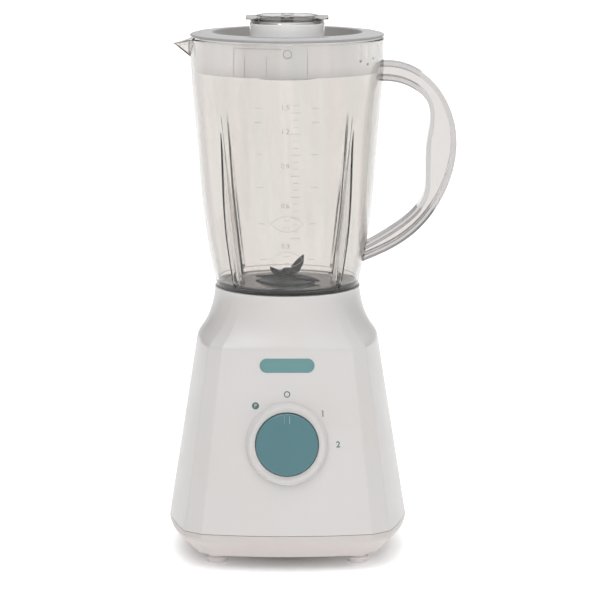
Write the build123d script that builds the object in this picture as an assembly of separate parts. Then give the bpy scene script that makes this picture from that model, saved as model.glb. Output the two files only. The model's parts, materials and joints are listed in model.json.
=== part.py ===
"""Countertop blender: faceted motor base, clear jug with handle, lid, measuring cap and four-wing blades.

Millimetres. +Z is up and is the drive axis. The origin is on the table under the drive axis.
-Y is the front, with the speed knob. +X is the handle side and -X the spout side.
"""

from build123d import *
import os
from math import atan, cos, degrees, pi, radians, sin

# ---------------------------------------------------------------- driving dimensions
WALL = 2.6                    # casing wall

# Casing: half sizes in X and Y at its three main levels
BOTTOM_Z, BOTTOM_X, BOTTOM_Y = 10.5, 76.0, 76.0
WAIST_Z, WAIST_X, WAIST_Y = 24.5, 89.2, 86.5
SHOULDER_Z, SHOULDER_X, SHOULDER_Y = 162.0, 67.5, 63.2
SEAM_Z, SEAM_LINE = 29.0, 0.35
COLLAR_Z, COLLAR_R = 200.0, 54.0
CREASE_R = 3.5                # rounding of the casing's upright creases
FLARE = [(162.0, 0.0), (164.0, 0.05), (166.5, 0.16), (171.0, 0.385), (178.0, 0.644),
         (185.0, 0.82), (192.0, 0.94), (200.0, 1.0)]   # height, share of the way to the round collar

# Well in the top of the casing, where the jug sits
WELL_R, WELL_FLOOR_Z, WELL_WALL = 50.5, 172.0, 2.0
CUP_TOP_Z = 196.0             # the well cup ends under the collar's lip
KEY_COUNT, KEY_WIDTH, KEY_DEPTH = 4, 5.0, 1.4

# Knob axis: a point on the leaning front wall
KNOB_Z = 95.2
KNOB_R, KNOB_RIM_H = 22.6, 8.6
BOSS_FOOT_R, BOSS_TOP_R, BOSS_H = 30.0, 26.9, 5.6

# Feet
FOOT_X, FOOT_Y, FOOT_R = 52.0, 49.0, 8.0

# Jug
JUG_WALL = 2.6
JUG_BASE_Z, JUG_FLOOR_Z, JUG_RIM_Z = 200.3, 203.0, 384.3
JUG_OUTLINE = [(52.6, 200.3), (54.3, 207.5), (58.0, 226.0), (62.4, 255.5), (66.5, 305.0),
               (69.6, 342.0), (71.1, 366.0), (71.2, 384.3)]
SPIGOT_R, SPIGOT_Z, SPIGOT_WALL = 49.9, 182.0, 3.0
FLUTE_TOP_Z, FLUTE_COUNT = 331.0, 4
FLOOR_HOLE_R = 16.0
SPOUT_TIP, SPOUT_TIP_Z = 83.6, 380.0
SPOUT_ROOT, SPOUT_ROOT_Z = 71.4, 370.0
SPOUT_HALF_WIDTH, SPOUT_START = 25.0, 68.0

# Handle, in the XZ plane
HANDLE_DEPTH, HANDLE_WEB, HANDLE_FLANGE = 19.0, 3.4, 3.6
HANDLE_OUTER = [(60.0, 366.7), (83.0, 365.8), (98.0, 359.6), (112.6, 345.6), (121.7, 327.0),
                (124.8, 308.0), (120.9, 282.2), (110.5, 259.6), (95.0, 240.9), (76.5, 228.1), (50.0, 216.6)]
HANDLE_INNER = [(50.0, 227.3), (69.0, 237.9), (84.0, 247.9), (95.2, 258.2), (101.3, 270.5),
                (102.2, 284.0), (103.0, 308.3), (105.3, 327.0), (102.8, 337.6), (94.2, 346.3), (83.0, 351.4),
                (60.0, 352.7)]

# Lid and measuring cap
LID_FLANGE_R, LID_FLANGE_Z, LID_TOP_Z = 71.4, 384.6, 388.3
LID_SKIRT_R, LID_SKIRT_Z = 67.8, 360.0
LID_RECESS_R, LID_RECESS_FLOOR_R, LID_FLOOR_Z = 55.5, 45.0, 372.0
FILLER_R, FILLER_WALL, FILLER_Z = 27.6, 2.0, 394.8
# Strainer slots: angle from the handle side, length
STRAINER = [(4.9, 17.0), (11.8, 13.5), (18.7, 5.0), (25.6, 13.5), (32.5, 17.0), (39.6, 14.5)]
CAP_TOP_Z, CAP_MOUTH_Z = 400.7, 354.6

# Blades
BLADE_T = 1.2
HOLDER_TOP_Z, BLADE_Z = 205.2, 205.8
UPPER_BLADE_TURN, LOWER_BLADE_TURN = 64.0, 154.0
UPPER_TIP_R, UPPER_TIP_RISE, LOWER_TIP_R, LOWER_TIP_RISE = 30.5, 9.0, 26.0, -2.4
SHAFT_R = 4.0

# Drive coupling
DOGS, DOG_TOP_Z, DOG_BASE_Z, DOG_LOW_Z = 6, 186.0, 180.0, 176.0

# Motor
STACK_LOW, STACK_HIGH = 82.0, 114.0
STACK_X, STACK_Y, BORE_R, ARMATURE_R = 37.0, 31.0, 20.0, 19.4
LOWER_PLATE_Z, UPPER_PLATE_Z, PLATE_T, PLATE_R = 52.0, 136.0, 4.0, 39.0
BOLT_X = 33.0
EAR_X, EAR_Y = 26.0, 34.0
SHAFT_LOW, SHAFT_HIGH = 38.0, 183.5

RUN = 0.05                    # running clearance of a shaft in a bush
GAP = 0.3                     # clearance between pieces that only pass each other
WELD_GAP = 0.05               # bond line between glued pieces
LOW = (Align.CENTER, Align.CENTER, Align.MIN)


# ---------------------------------------------------------------- helpers
def rod(radius, z0, z1, x=0.0, y=0.0):
    """Upright cylinder."""
    return Pos(x, y, z0) * Cylinder(radius, z1 - z0, align=LOW)


def tube(r_in, r_out, z0, z1, x=0.0, y=0.0):
    """Upright ring."""
    return rod(r_out, z0, z1, x, y) - rod(r_in, z0 - 1, z1 + 1, x, y)


def block(x_size, y_size, z0, z1, x=0.0, y=0.0):
    """Upright box."""
    return Pos(x, y, z0) * Box(x_size, y_size, z1 - z0, align=LOW)


def turned(points):
    """Solid of revolution about Z from a closed outline of (radius, height) points."""
    return revolve(make_face(Polyline(*[(r, 0, z) for r, z in points], close=True)), Axis.Z)


def around(shape, count, start=0.0):
    """Copies of shape spaced evenly about Z."""
    return [Rot(0, 0, start + 360.0 * i / count) * shape for i in range(count)]


def corners(x, y):
    """The four points (+-x, +-y)."""
    return [(sx * x, sy * y) for sx in (-1, 1) for sy in (-1, 1)]


def joined(shapes):
    """All shapes fused into one."""
    first, *rest = shapes
    for shape in rest:
        first = first + shape
    return first


def group(solids):
    """Separate solids kept side by side in one node."""
    return Compound(children=[Solid(s.solids()[0].wrapped) for s in solids])


# ---------------------------------------------------------------- casing sections
def plan_points():
    """The casing's plan at the shoulder: crowned sides, and a narrow facet at each corner."""
    x, y = SHOULDER_X, SHOULDER_Y
    quarter = [(0.706 * x, -0.93 * y), (0.85 * x, -0.82 * y)]
    right = quarter + [(px, -py) for px, py in reversed(quarter)]
    return right + [(-px, -py) for px, py in right]


def casing_arcs():
    """Start, middle and end point of each edge of the rounded plan."""
    points = plan_points()
    crowns = {1: (SHOULDER_X, 0), 3: (0, SHOULDER_Y), 5: (-SHOULDER_X, 0), 7: (0, -SHOULDER_Y)}
    edges = []
    for i, start in enumerate(points):
        end = points[(i + 1) % len(points)]
        if i in crowns:
            edges.append(ThreePointArc(start, crowns[i], end))
        else:
            edges.append(Line(start, end))
    plan = make_face(edges)
    plan = fillet(plan.vertices(), CREASE_R)
    return [(e @ 0, e @ 0.5, e @ 1) for e in plan.face().outer_wire().order_edges()]


ARCS = casing_arcs()


def curve(start, middle, end):
    """Edge through three points: straight where they lie in line."""
    if (middle - start).cross(end - start).length < 1e-4:
        return Edge.make_line(start, end)
    return Edge.make_three_point_arc(start, middle, end)


def casing_wire(z, half_x, half_y, inset=0.0, roundness=0.0):
    """Outline of the casing at height z, brought in by inset and turned towards a circle by roundness."""
    radius = COLLAR_R - inset
    scale_x, scale_y = (half_x - inset) / SHOULDER_X, (half_y - inset) / SHOULDER_Y

    def place(p):
        flat = Vector(p.X * scale_x, p.Y * scale_y, 0)
        circle = flat.normalized() * radius
        return flat * (1 - roundness) + circle * roundness + Vector(0, 0, z)

    return Wire([curve(*[place(p) for p in arc]) for arc in ARCS])


def lean(z):
    """Half sizes of the casing's straight leaning part at height z."""
    share = (z - WAIST_Z) / (SHOULDER_Z - WAIST_Z)
    return WAIST_X + share * (SHOULDER_X - WAIST_X), WAIST_Y + share * (SHOULDER_Y - WAIST_Y)


def leaning_part(z0, z1, inset=0.0):
    """Casing solid between two heights of its straight leaning part."""
    return Solid.make_loft([casing_wire(z, *lean(z), inset) for z in (z0, z1)], True)


def flare_part(top_z, inset=0.0):
    """Casing solid from the shoulder up through the hollow flare towards the round collar."""
    levels = [(z, share) for z, share in FLARE if z <= top_z]
    wires = [casing_wire(z, SHOULDER_X, SHOULDER_Y, inset, share) for z, share in levels]
    return Solid.make_loft(wires, False)


LEAN_ANGLE = degrees(atan((WAIST_Y - SHOULDER_Y) / (SHOULDER_Z - WAIST_Z)))
KNOB_PLANE = Plane(origin=(0, -lean(KNOB_Z)[1], KNOB_Z), x_dir=(1, 0, 0),
                   z_dir=(0, -cos(radians(LEAN_ANGLE)), sin(radians(LEAN_ANGLE))))
GLAND_Z = 42.0
GLAND_PLANE = Plane(origin=(0, lean(GLAND_Z)[1], GLAND_Z), x_dir=(1, 0, 0),
                    z_dir=(0, cos(radians(LEAN_ANGLE)), sin(radians(LEAN_ANGLE))))


def on_knob(shape):
    """Moves a shape drawn about Z onto the knob's axis, with +Z pointing out of the front wall."""
    return KNOB_PLANE.location * shape


# ---------------------------------------------------------------- casing
POST_X, POST_Y, POST_R = 42.0, 60.0, 4.6
SCREW_R = 1.8
SCREW_SEAT_Z = 21.0
BADGE_Z, BADGE_LENGTH, BADGE_WIDTH = 151.3, 40.0, 10.4
BADGE_SINK, BADGE_PROUD = 0.7, 0.35
GLAND_NECK_R, GLAND_FLANGE_R, GLAND_BORE_R = 6.0, 9.0, 4.0


def badge_prism():
    """Pill-shaped prism that crosses the front wall at the badge."""
    pill = SlotOverall(BADGE_LENGTH, BADGE_WIDTH)
    plane = Plane(origin=(0, -lean(BADGE_Z)[1], BADGE_Z), x_dir=(1, 0, 0), z_dir=KNOB_PLANE.z_dir)
    return extrude(plane * pill, 6.0, both=True)


def housing():
    """Casing shell up to the shoulder: leaning walls with screw posts, knob boss and badge pocket."""
    outer = leaning_part(SEAM_Z, SHOULDER_Z)
    shell = outer - leaning_part(SEAM_Z - 0.5, SHOULDER_Z + 0.5, WALL)
    posts = [rod(POST_R, SEAM_Z + 0.2, 158.0, x, y) for x, y in corners(POST_X, POST_Y)]
    shell = shell + (joined(posts) & outer)
    shell = shell - joined([rod(SCREW_R, SEAM_Z, 62.0, x, y) for x, y in corners(POST_X, POST_Y)])
    shell = shell + knob_boss() - on_knob(rod(KNOB_R + 0.7, 1.4, 30.0))
    shell = shell - on_knob(rod(4.0, -12.0, 12.0))
    for side in (-1, 1):
        shell = shell - on_knob(rod(SCREW_R, -12.0, 12.0, side * 13.0))
    shell = shell - badge_pocket()
    return shell - GLAND_PLANE.location * rod(GLAND_NECK_R + 0.1, -20.0, 20.0)


def neck():
    """Hollow flare bonded on the casing's shoulder, ending in the round collar that takes the jug."""
    shell = flare_part(COLLAR_Z) - flare_part(185.0, WALL)
    shell = shell - rod(WELL_R + WELL_WALL + 0.05, 184.0, CUP_TOP_Z)
    shell = shell - rod(WELL_R, CUP_TOP_Z - 1.0, COLLAR_Z + 1.0)
    return shell - block(300.0, 300.0, SHOULDER_Z - 1.0, SHOULDER_Z + WELD_GAP)


def well_cup():
    """Cup bonded under the collar: it takes the jug's foot and carries the motor's four hanging posts."""
    foot_z = WELL_FLOOR_Z - WELL_WALL
    cup = rod(WELL_R + WELL_WALL, foot_z, CUP_TOP_Z) - rod(WELL_R, WELL_FLOOR_Z, CUP_TOP_Z + 1.0)
    key = block(KEY_DEPTH + 1, KEY_WIDTH, WELL_FLOOR_Z, WELL_FLOOR_Z + 20.0, WELL_R - KEY_DEPTH / 2 + 0.5)
    cup = cup + joined(around(key, KEY_COUNT, 45.0))
    cup = cup + tube(9.0, 12.0, WELL_FLOOR_Z - 1.0, WELL_FLOOR_Z + 2.2) - rod(9.0, 160.0, 180.0)
    cup = cup + joined([rod(5.0, 147.0, foot_z + 0.5, x, y) for x, y in corners(EAR_X, EAR_Y)])
    return cup - joined([rod(SCREW_R, 140.0, 160.0, x, y) for x, y in corners(EAR_X, EAR_Y)])


def knob_boss():
    """Round collar on the front wall that the knob sinks into."""
    ring = turned([(0, -3.0), (BOSS_FOOT_R, -3.0), (BOSS_FOOT_R, 0.4), (BOSS_TOP_R + 1.2, BOSS_H - 1.2),
                   (BOSS_TOP_R, BOSS_H), (0, BOSS_H)])
    hollow = leaning_part(SEAM_Z, SHOULDER_Z, WALL)
    return on_knob(ring) - hollow


def badge_pocket():
    return badge_prism() - leaning_part(SEAM_Z, SHOULDER_Z, BADGE_SINK)


def badge():
    """Plain pill-shaped trim plate, sunk into the front wall."""
    skin = leaning_part(SEAM_Z, SHOULDER_Z, -BADGE_PROUD)
    skin = skin - leaning_part(SEAM_Z - 1, SHOULDER_Z + 1, BADGE_SINK)
    return badge_prism() & skin


def base_plate():
    top_z = SEAM_Z - SEAM_LINE
    levels = [(BOTTOM_Z, BOTTOM_X, BOTTOM_Y), (23.4, 88.3, 85.8), (25.6, *lean(25.6)), (top_z, *lean(top_z))]
    outer = Solid.make_loft([casing_wire(*level) for level in levels], True)
    floor_z = BOTTOM_Z + WALL
    inner_levels = [(floor_z, BOTTOM_X, BOTTOM_Y), *levels[1:3], (SEAM_Z + 1, *lean(SEAM_Z + 1))]
    inner = Solid.make_loft([casing_wire(*level, WALL) for level in inner_levels], True)
    lip = leaning_part(SEAM_Z - 3.2, top_z, WALL - 0.6)
    lip = lip + leaning_part(SEAM_Z - 3.2, SEAM_Z + 2.4, WALL + 0.25)
    lip = lip - leaning_part(SEAM_Z - 4.2, SEAM_Z + 3.4, WALL + 1.9)
    plate = outer - inner + lip
    plate = plate + joined([rod(6.4, floor_z - 1, SEAM_Z, x, y) for x, y in corners(POST_X, POST_Y)])
    seats = [rod(4.6, BOTTOM_Z - 1, SCREW_SEAT_Z, x, y) for x, y in corners(POST_X, POST_Y)]
    seats += [rod(2.2, BOTTOM_Z, SEAM_Z + 1, x, y) for x, y in corners(POST_X, POST_Y)]
    seats += [rod(5.2, BOTTOM_Z - 1, floor_z + 1, x, y) for x, y in corners(FOOT_X, FOOT_Y)]
    vent = extrude(SlotOverall(44.0, 2.8), 12.0)
    seats += [Pos(0, 5.6 * row, BOTTOM_Z - 4) * vent for row in range(-5, 6)]
    return plate - joined(seats)


def foot(x, y):
    """Two-step rubber foot with a plug that snaps through the base plate."""
    plate_low, plate_high = BOTTOM_Z, BOTTOM_Z + WALL
    shape = turned([(0, 0), (FOOT_R - 0.8, 0), (FOOT_R, 0.8), (FOOT_R, 4.2), (FOOT_R - 0.7, 4.9), (6.7, 5.2),
                    (6.7, plate_low), (5.1, plate_low), (5.1, plate_high), (6.1, plate_high),
                    (6.1, plate_high + 0.8),
                    (4.4, plate_high + 3.0), (0, plate_high + 3.0)])
    return Pos(x, y, 0) * shape


def cord_gland():
    """Bush that lines the mains lead's way through the rear wall."""
    shape = turned([(GLAND_BORE_R, -WALL - 3.0), (GLAND_NECK_R + 0.8, -WALL - 3.0),
                    (GLAND_NECK_R + 1.2, -WALL - 0.4), (GLAND_NECK_R, -WALL - 0.4), (GLAND_NECK_R, 0.3),
                    (GLAND_FLANGE_R, 0.3), (GLAND_FLANGE_R - 0.6, 2.2),
                    (GLAND_NECK_R + 0.6, 3.4), (GLAND_BORE_R + 1.0, 3.4), (GLAND_BORE_R, 2.6)])
    return GLAND_PLANE.location * shape


def pan_screw(x, y, head_z, tip_z, head_r=3.9, shank_r=SCREW_R):
    """Pan-head screw driven upwards: its head seats at head_z and its tip is at tip_z."""
    head = rod(head_r, head_z - 2.4, head_z, x, y) + rod(shank_r, head_z - 0.5, tip_z, x, y)
    slots = block(4.6, 1.0, head_z - 3, head_z - 1.2, x, y) + block(1.0, 4.6, head_z - 3, head_z - 1.2, x, y)
    return head - slots


def base_screws():
    return group([pan_screw(x, y, SCREW_SEAT_Z, 44.0) for x, y in corners(POST_X, POST_Y)])


# ---------------------------------------------------------------- knob and switch
KNOB_FLOOR = 1.9              # underside of the knob above the front wall


def knob():
    top = KNOB_RIM_H
    shape = turned([(0, KNOB_FLOOR), (KNOB_R, KNOB_FLOOR), (KNOB_R, top - 1.0), (KNOB_R - 0.35, top - 0.3),
                    (KNOB_R - 1.1, top), (0, top)])
    shape = shape - tube(7.0, KNOB_R - 2.2, KNOB_FLOOR - 1, top - 2.4)
    shape = shape - rod(3.05, KNOB_FLOOR - 1, top - 2.6)
    for side in (-1, 1):
        groove = Pos(side * 1.9, KNOB_R - 4.2, top - 0.45) * Box(0.5, 6.6, 2.0, align=LOW)
        shape = shape - groove
    return on_knob(shape)


def switch_shaft():
    """Flatted spindle that the knob pushes onto."""
    spindle = rod(3.0, -11.0, KNOB_RIM_H - 2.8)
    flat = Pos(3.4, 0, -2.0) * Box(2.0, 8.0, 12.0, align=LOW)
    return on_knob(spindle - flat + rod(5.0, -16.0, -11.0))


def rotary_switch():
    body = block(30.0, 26.0, -28.0, -5.0) + rod(8.0, -5.1, -2.8) + block(34.0, 8.0, -7.0, -5.0)
    body = body - rod(3.0 + RUN, -10.0, 1.0) - rod(5.4, -17.0, -9.0)
    for side in (-1, 1):
        body = body - rod(SCREW_R, -14.0, 0.0, side * 13.0)
    tabs = [block(0.8, 6.3, -34.0, -27.0, x, y) for x, y in corners(9.0, 7.0)]
    return on_knob(joined([body, *tabs]))


def switch_screws():
    """Two short screws that hold the switch from the front, under the knob."""
    screws = []
    for side in (-1, 1):
        screws.append(on_knob(rod(3.0, 1.4, 1.9, side * 13.0) + rod(SCREW_R - 0.1, -11.0, 1.5, side * 13.0)))
    return group(screws)


# ---------------------------------------------------------------- motor
def field_stack():
    """Laminated stator iron: a flattened round block with the armature bore and four coil slots."""
    iron = block(2 * STACK_X, 2 * STACK_Y, STACK_LOW, STACK_HIGH) & rod(42.0, STACK_LOW, STACK_HIGH)
    cuts = [rod(BORE_R, STACK_LOW - 1, STACK_HIGH + 1)]
    cuts += [block(8.4, 9.0, STACK_LOW - 1, STACK_HIGH + 1, x, y) for x, y in corners(24.0, 20.5)]
    cuts += [rod(2.3, STACK_LOW - 1, STACK_HIGH + 1, side * BOLT_X) for side in (-1, 1)]
    return iron - joined(cuts)


def field_coils():
    """Two wound coils, one round each pole."""
    coils = []
    for side in (-1, 1):
        outer = block(7.4, 48.0, STACK_LOW - 8.0, STACK_HIGH + 8.0, side * 24.0)
        pole = block(9.0, 32.4, STACK_LOW - 0.3, STACK_HIGH + 0.3, side * 24.0)
        coils.append(outer - pole)
    return group(coils)


def armature_core():
    core = rod(ARMATURE_R, STACK_LOW, STACK_HIGH) - rod(SHAFT_R, STACK_LOW - 1, STACK_HIGH + 1)
    slot = block(6.6, 2.2, STACK_LOW - 1, STACK_HIGH + 1, ARMATURE_R - 2.4)
    return core - joined(around(slot, 12))


def armature_windings():
    """Enamelled end windings above and below the armature iron."""
    upper = turned([(SHAFT_R + 1, STACK_HIGH), (16.5, STACK_HIGH), (17.4, STACK_HIGH + 3),
                    (15.6, STACK_HIGH + 8.4),
                    (10.0, STACK_HIGH + 10), (SHAFT_R + 1, STACK_HIGH + 8)])
    lower = turned([(SHAFT_R + 1, STACK_LOW), (16.5, STACK_LOW), (17.4, STACK_LOW - 3),
                    (15.6, STACK_LOW - 7.4),
                    (11.4, STACK_LOW - 9), (SHAFT_R + 1, STACK_LOW - 9)])
    return group([upper, lower])


COMMUTATOR_R, COMMUTATOR_LOW, COMMUTATOR_HIGH = 11.0, 59.5, 72.5


def commutator():
    drum = tube(SHAFT_R, COMMUTATOR_R, COMMUTATOR_LOW, COMMUTATOR_HIGH)
    cut = block(1.6, 0.5, COMMUTATOR_LOW - 1, COMMUTATOR_HIGH + 1, COMMUTATOR_R)
    return drum - joined(around(cut, 24))


def motor_shaft():
    flat = block(3.0, 10.0, 176.5, 190.0, SHAFT_R + 0.7)
    return rod(SHAFT_R, SHAFT_LOW, SHAFT_HIGH) - flat


def cooling_fan():
    """Radial fan at the foot of the motor shaft."""
    low, high = SHAFT_LOW + 1.0, 47.5
    hub = tube(SHAFT_R, 9.0, low, high)
    disc = tube(8.0, 34.0, high - 1.6, high)
    blade = Pos(20.5, 0, low + 1.0) * Rot(0, 0, 24) * Box(26.0, 1.4, high - low - 1.5, align=LOW)
    return joined([hub, disc, *around(blade, 12)]) & rod(34.0, low, high)


def lower_bracket():
    """Cast plate under the stator, with spacers for the through bolts and the lower bearing seat."""
    plate = rod(PLATE_R, LOWER_PLATE_Z, LOWER_PLATE_Z + PLATE_T)
    boss = rod(11.0, LOWER_PLATE_Z, LOWER_PLATE_Z + 6.6)
    spacers = [rod(5.0, LOWER_PLATE_Z, STACK_LOW, side * BOLT_X) for side in (-1, 1)]
    cuts = [rod(7.5, LOWER_PLATE_Z - 1, LOWER_PLATE_Z + 8)]
    cuts += [rod(2.3, LOWER_PLATE_Z - 1, STACK_LOW + 1, side * BOLT_X) for side in (-1, 1)]
    cuts += [rod(6.0, LOWER_PLATE_Z - 1, LOWER_PLATE_Z + 8, x, y) for x, y in corners(17.0, 21.0)]
    return joined([plate, boss, *spacers]) - joined(cuts)


def upper_bracket():
    """Cast plate over the stator, with the upper bearing seat and four ears for the rubber mounts."""
    top = UPPER_PLATE_Z + PLATE_T
    plate = rod(PLATE_R, UPPER_PLATE_Z, top)
    boss = rod(11.0, UPPER_PLATE_Z - 5.0, top + 4.0)
    spacers = [rod(5.0, STACK_HIGH, top, side * BOLT_X) for side in (-1, 1)]
    ears = [rod(9.0, UPPER_PLATE_Z, top, x, y) for x, y in corners(EAR_X, EAR_Y)]
    cuts = [rod(7.5, UPPER_PLATE_Z - 6, top + 5)]
    cuts += [rod(2.3, STACK_HIGH - 1, top + 1, side * BOLT_X) for side in (-1, 1)]
    cuts += [rod(5.0, UPPER_PLATE_Z - 1, top + 1, x, y) for x, y in corners(EAR_X, EAR_Y)]
    cuts += [rod(5.0, UPPER_PLATE_Z - 1, top + 1, 0, side * 24.0) for side in (-1, 1)]
    return joined([plate, boss, *spacers, *ears]) - joined(cuts)


def motor_bushes():
    """Upper and lower sintered bushes of the motor shaft."""
    lower = tube(SHAFT_R + RUN, 7.5, LOWER_PLATE_Z, LOWER_PLATE_Z + 6.6)
    upper = tube(SHAFT_R + RUN, 7.5, UPPER_PLATE_Z - 5.0, UPPER_PLATE_Z + PLATE_T + 4.0)
    return group([lower, upper])


def through_bolts():
    """Two long bolts that clamp the brackets on the stator, heads below and nuts above."""
    bolts = []
    for side in (-1, 1):
        low, high = LOWER_PLATE_Z, UPPER_PLATE_Z + PLATE_T
        shank = rod(2.2, low - 1, high + 5, side * BOLT_X)
        head = Pos(side * BOLT_X, 0, low - 3.0) * extrude(RegularPolygon(3.8, 6), 3.0)
        nut = Pos(side * BOLT_X, 0, high) * extrude(RegularPolygon(3.8, 6), 3.2)
        bolts.append(joined([shank, head, nut]))
    return group(bolts)


def motor_mounts():
    """Rubber grommets between the upper bracket's ears and the casing."""
    top = UPPER_PLATE_Z + PLATE_T
    outline = [(2.2, UPPER_PLATE_Z - 3), (7.0, UPPER_PLATE_Z - 3), (7.0, UPPER_PLATE_Z), (5.0, UPPER_PLATE_Z),
               (5.0, top), (7.0, top), (7.0, 147.0), (2.2, 147.0)]
    return group([Pos(x, y, 0) * turned(outline) for x, y in corners(EAR_X, EAR_Y)])


def motor_screws():
    return group([pan_screw(x, y, UPPER_PLATE_Z - 3, 159.0, 5.0) for x, y in corners(EAR_X, EAR_Y)])


BRUSH_LOW, BRUSH_HIGH, BRUSH_END = 62.5, 68.5, 33.0


def brush_holders():
    """Two insulated blocks on the lower bracket, each with a square tunnel for a brush."""
    holders = []
    for side in (-1, 1):
        body = block(11.0, BRUSH_END - 13.5, LOWER_PLATE_Z + PLATE_T, 71.0, 0, side * (BRUSH_END + 13.5) / 2)
        tunnel = block(6.2, 17.4, BRUSH_LOW - 0.1, BRUSH_HIGH + 0.1, 0, side * 22.0)
        holders.append(body - tunnel)
    return group(holders)


def carbon_brushes():
    brushes = []
    for side in (-1, 1):
        bar = block(6.0, 13.0, BRUSH_LOW, BRUSH_HIGH, 0, side * 17.4)
        brushes.append(bar - rod(COMMUTATOR_R + 0.02, BRUSH_LOW - 1, BRUSH_HIGH + 1))
    return group(brushes)


def brush_springs():
    """Two short coil springs that push the brushes in."""
    springs = []
    for side in (-1, 1):
        radius, wire, length = 2.2, 0.35, 6.0
        path = Helix(pitch=length / 5.0, height=length, radius=radius)
        coil = sweep(Plane(origin=path @ 0, z_dir=path % 0) * Circle(wire), path)
        springs.append(Pos(0, side * 24.2, (BRUSH_LOW + BRUSH_HIGH) / 2) * Rot(-90 * side, 0, 0) * coil)
    return group(springs)


def shaft_seal():
    """Rubber cup that keeps spills in the well off the motor shaft."""
    low = WELL_FLOOR_Z + 2.2
    return turned([(SHAFT_R + GAP, low), (12.0, low), (12.0, WELL_FLOOR_Z + 0.2), (13.4, WELL_FLOOR_Z + 0.2),
                   (13.4, low + 0.9), (SHAFT_R + GAP, low + 0.9)])


def terminal_block():
    """Two-way terminal block beside the lead's inlet."""
    floor_z = BOTTOM_Z + WALL
    body = block(24.0, 12.0, floor_z, floor_z + 12.0, -18.0, 56.0)
    holes = [rod(2.4, floor_z + 4.0, floor_z + 13.0, x, 56.0) for x in (-24.0, -12.0)]
    return body - joined(holes)


# ---------------------------------------------------------------- drive coupling
def dog(r_in, r_out, width, z0, z1):
    """One coupling dog: a sector of a ring, width degrees wide, centred on +X."""
    sector = make_face(Polyline((0, 0), (40 * cos(radians(width / 2)), -40 * sin(radians(width / 2))),
                                (40 * cos(radians(width / 2)), 40 * sin(radians(width / 2))), close=True))
    return tube(r_in, r_out, z0, z1) & Pos(0, 0, z0) * extrude(sector, z1 - z0)


def drive_coupling():
    """Driver on the motor shaft, with dogs that stand up."""
    hub = tube(SHAFT_R, 16.0, DOG_LOW_Z, DOG_BASE_Z)
    dogs = around(dog(9.0, 15.2, 24.0, DOG_BASE_Z - 0.5, DOG_TOP_Z - 0.5), DOGS)
    flat = block(3.0, 10.0, DOG_LOW_Z + 0.5, DOG_BASE_Z, SHAFT_R + 0.7)
    flat = flat & rod(SHAFT_R + 0.5, DOG_LOW_Z, DOG_BASE_Z)
    return joined([hub, *dogs, flat])


def jug_coupling():
    """Driven half on the blade shaft, with dogs that hang between the driver's."""
    hub = tube(SHAFT_R, 16.0, DOG_TOP_Z, DOG_TOP_Z + 3.6)
    dogs = around(dog(9.0, 15.2, 32.0, DOG_BASE_Z + 0.5, DOG_TOP_Z + 0.5), DOGS, 180.0 / DOGS)
    return joined([hub, *dogs])


# ---------------------------------------------------------------- jug
def jug_profile(inset, low_z, high_z):
    """Solid of revolution of the jug's curved outline, brought in by inset, between two heights."""
    points = [(r - inset, 0, z) for r, z in JUG_OUTLINE]
    wall = Spline(*points)
    low, high = wall @ 0, wall @ 1
    top_centre, low_centre = (0, 0, high.Z), (0, 0, low.Z)
    face = make_face([wall, Line(high, top_centre), Line(top_centre, low_centre), Line(low_centre, low)])
    body = revolve(face, Axis.Z)
    return body & rod(90.0, low_z, high_z)


def flute(apex_low, apex_high, half_width):
    """Upright wedge that presses one flute into the jug wall, its sharp edge towards the axis."""
    def section(z, apex):
        reach = 90.0
        spread = half_width / 6.0 * (reach - apex)
        return Wire.make_polygon([(apex, 0, z), (reach, spread, z), (reach, -spread, z)], close=True)
    return Solid.make_loft([section(JUG_BASE_Z - 1.0, apex_low), section(FLUTE_TOP_Z, apex_high)], True)


def spout_wedge(inset):
    """Pointed spout: a small triangle at its root that opens to a wide one above the rim."""
    def section(z, tip, half_width):
        back = SPOUT_START - 6.0
        return Wire.make_polygon([(-tip, 0, z), (-back, half_width, z), (-back, -half_width, z)], close=True)

    slope = (SPOUT_TIP - SPOUT_ROOT) / (SPOUT_TIP_Z - SPOUT_ROOT_Z)
    top_z = JUG_RIM_Z + (4.0 if inset else 0.0)
    top_tip = SPOUT_ROOT + slope * (top_z - SPOUT_ROOT_Z)
    return Solid.make_loft([section(SPOUT_ROOT_Z, SPOUT_ROOT - 1.4 * inset, 5.0 - inset / 2),
                            section(top_z, top_tip - 1.4 * inset, SPOUT_HALF_WIDTH - inset)], True)


def spout_trim():
    """Block above the spout's sloping lip."""
    drop = degrees(atan((JUG_RIM_Z - SPOUT_TIP_Z) / (SPOUT_TIP - SPOUT_START)))
    above = Box(40.0, 80.0, 20.0, align=(Align.MAX, Align.CENTER, Align.MIN))
    return Pos(-SPOUT_START, 0, JUG_RIM_Z) * Rot(0, -drop, 0) * above


def jug_outside():
    body = jug_profile(0.0, JUG_BASE_Z, JUG_RIM_Z)
    body = body + spout_wedge(0.0)
    grooves = around(flute(49.6, 69.0, 3.2), FLUTE_COUNT, 45.0)
    return body - joined(grooves)


def jug_inside():
    cavity = jug_profile(JUG_WALL, JUG_FLOOR_Z, JUG_RIM_Z) + rod(68.6, JUG_RIM_Z - 1, JUG_RIM_Z + 1)
    ridges = around(flute(44.4, 66.0, 3.6), FLUTE_COUNT, 45.0)
    return cavity - joined(ridges) + spout_wedge(2.0)


def jug():
    spigot = tube(SPIGOT_R - SPIGOT_WALL, SPIGOT_R, SPIGOT_Z, JUG_BASE_Z + 1.0)
    keyway = block(4.0, KEY_WIDTH + 0.8, SPIGOT_Z - 1, 194.5, SPIGOT_R + 0.2)
    body = jug_outside() - jug_inside() + spigot - joined(around(keyway, KEY_COUNT, 45.0))
    return body - spout_trim() - rod(FLOOR_HOLE_R, 190.0, 210.0)


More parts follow.
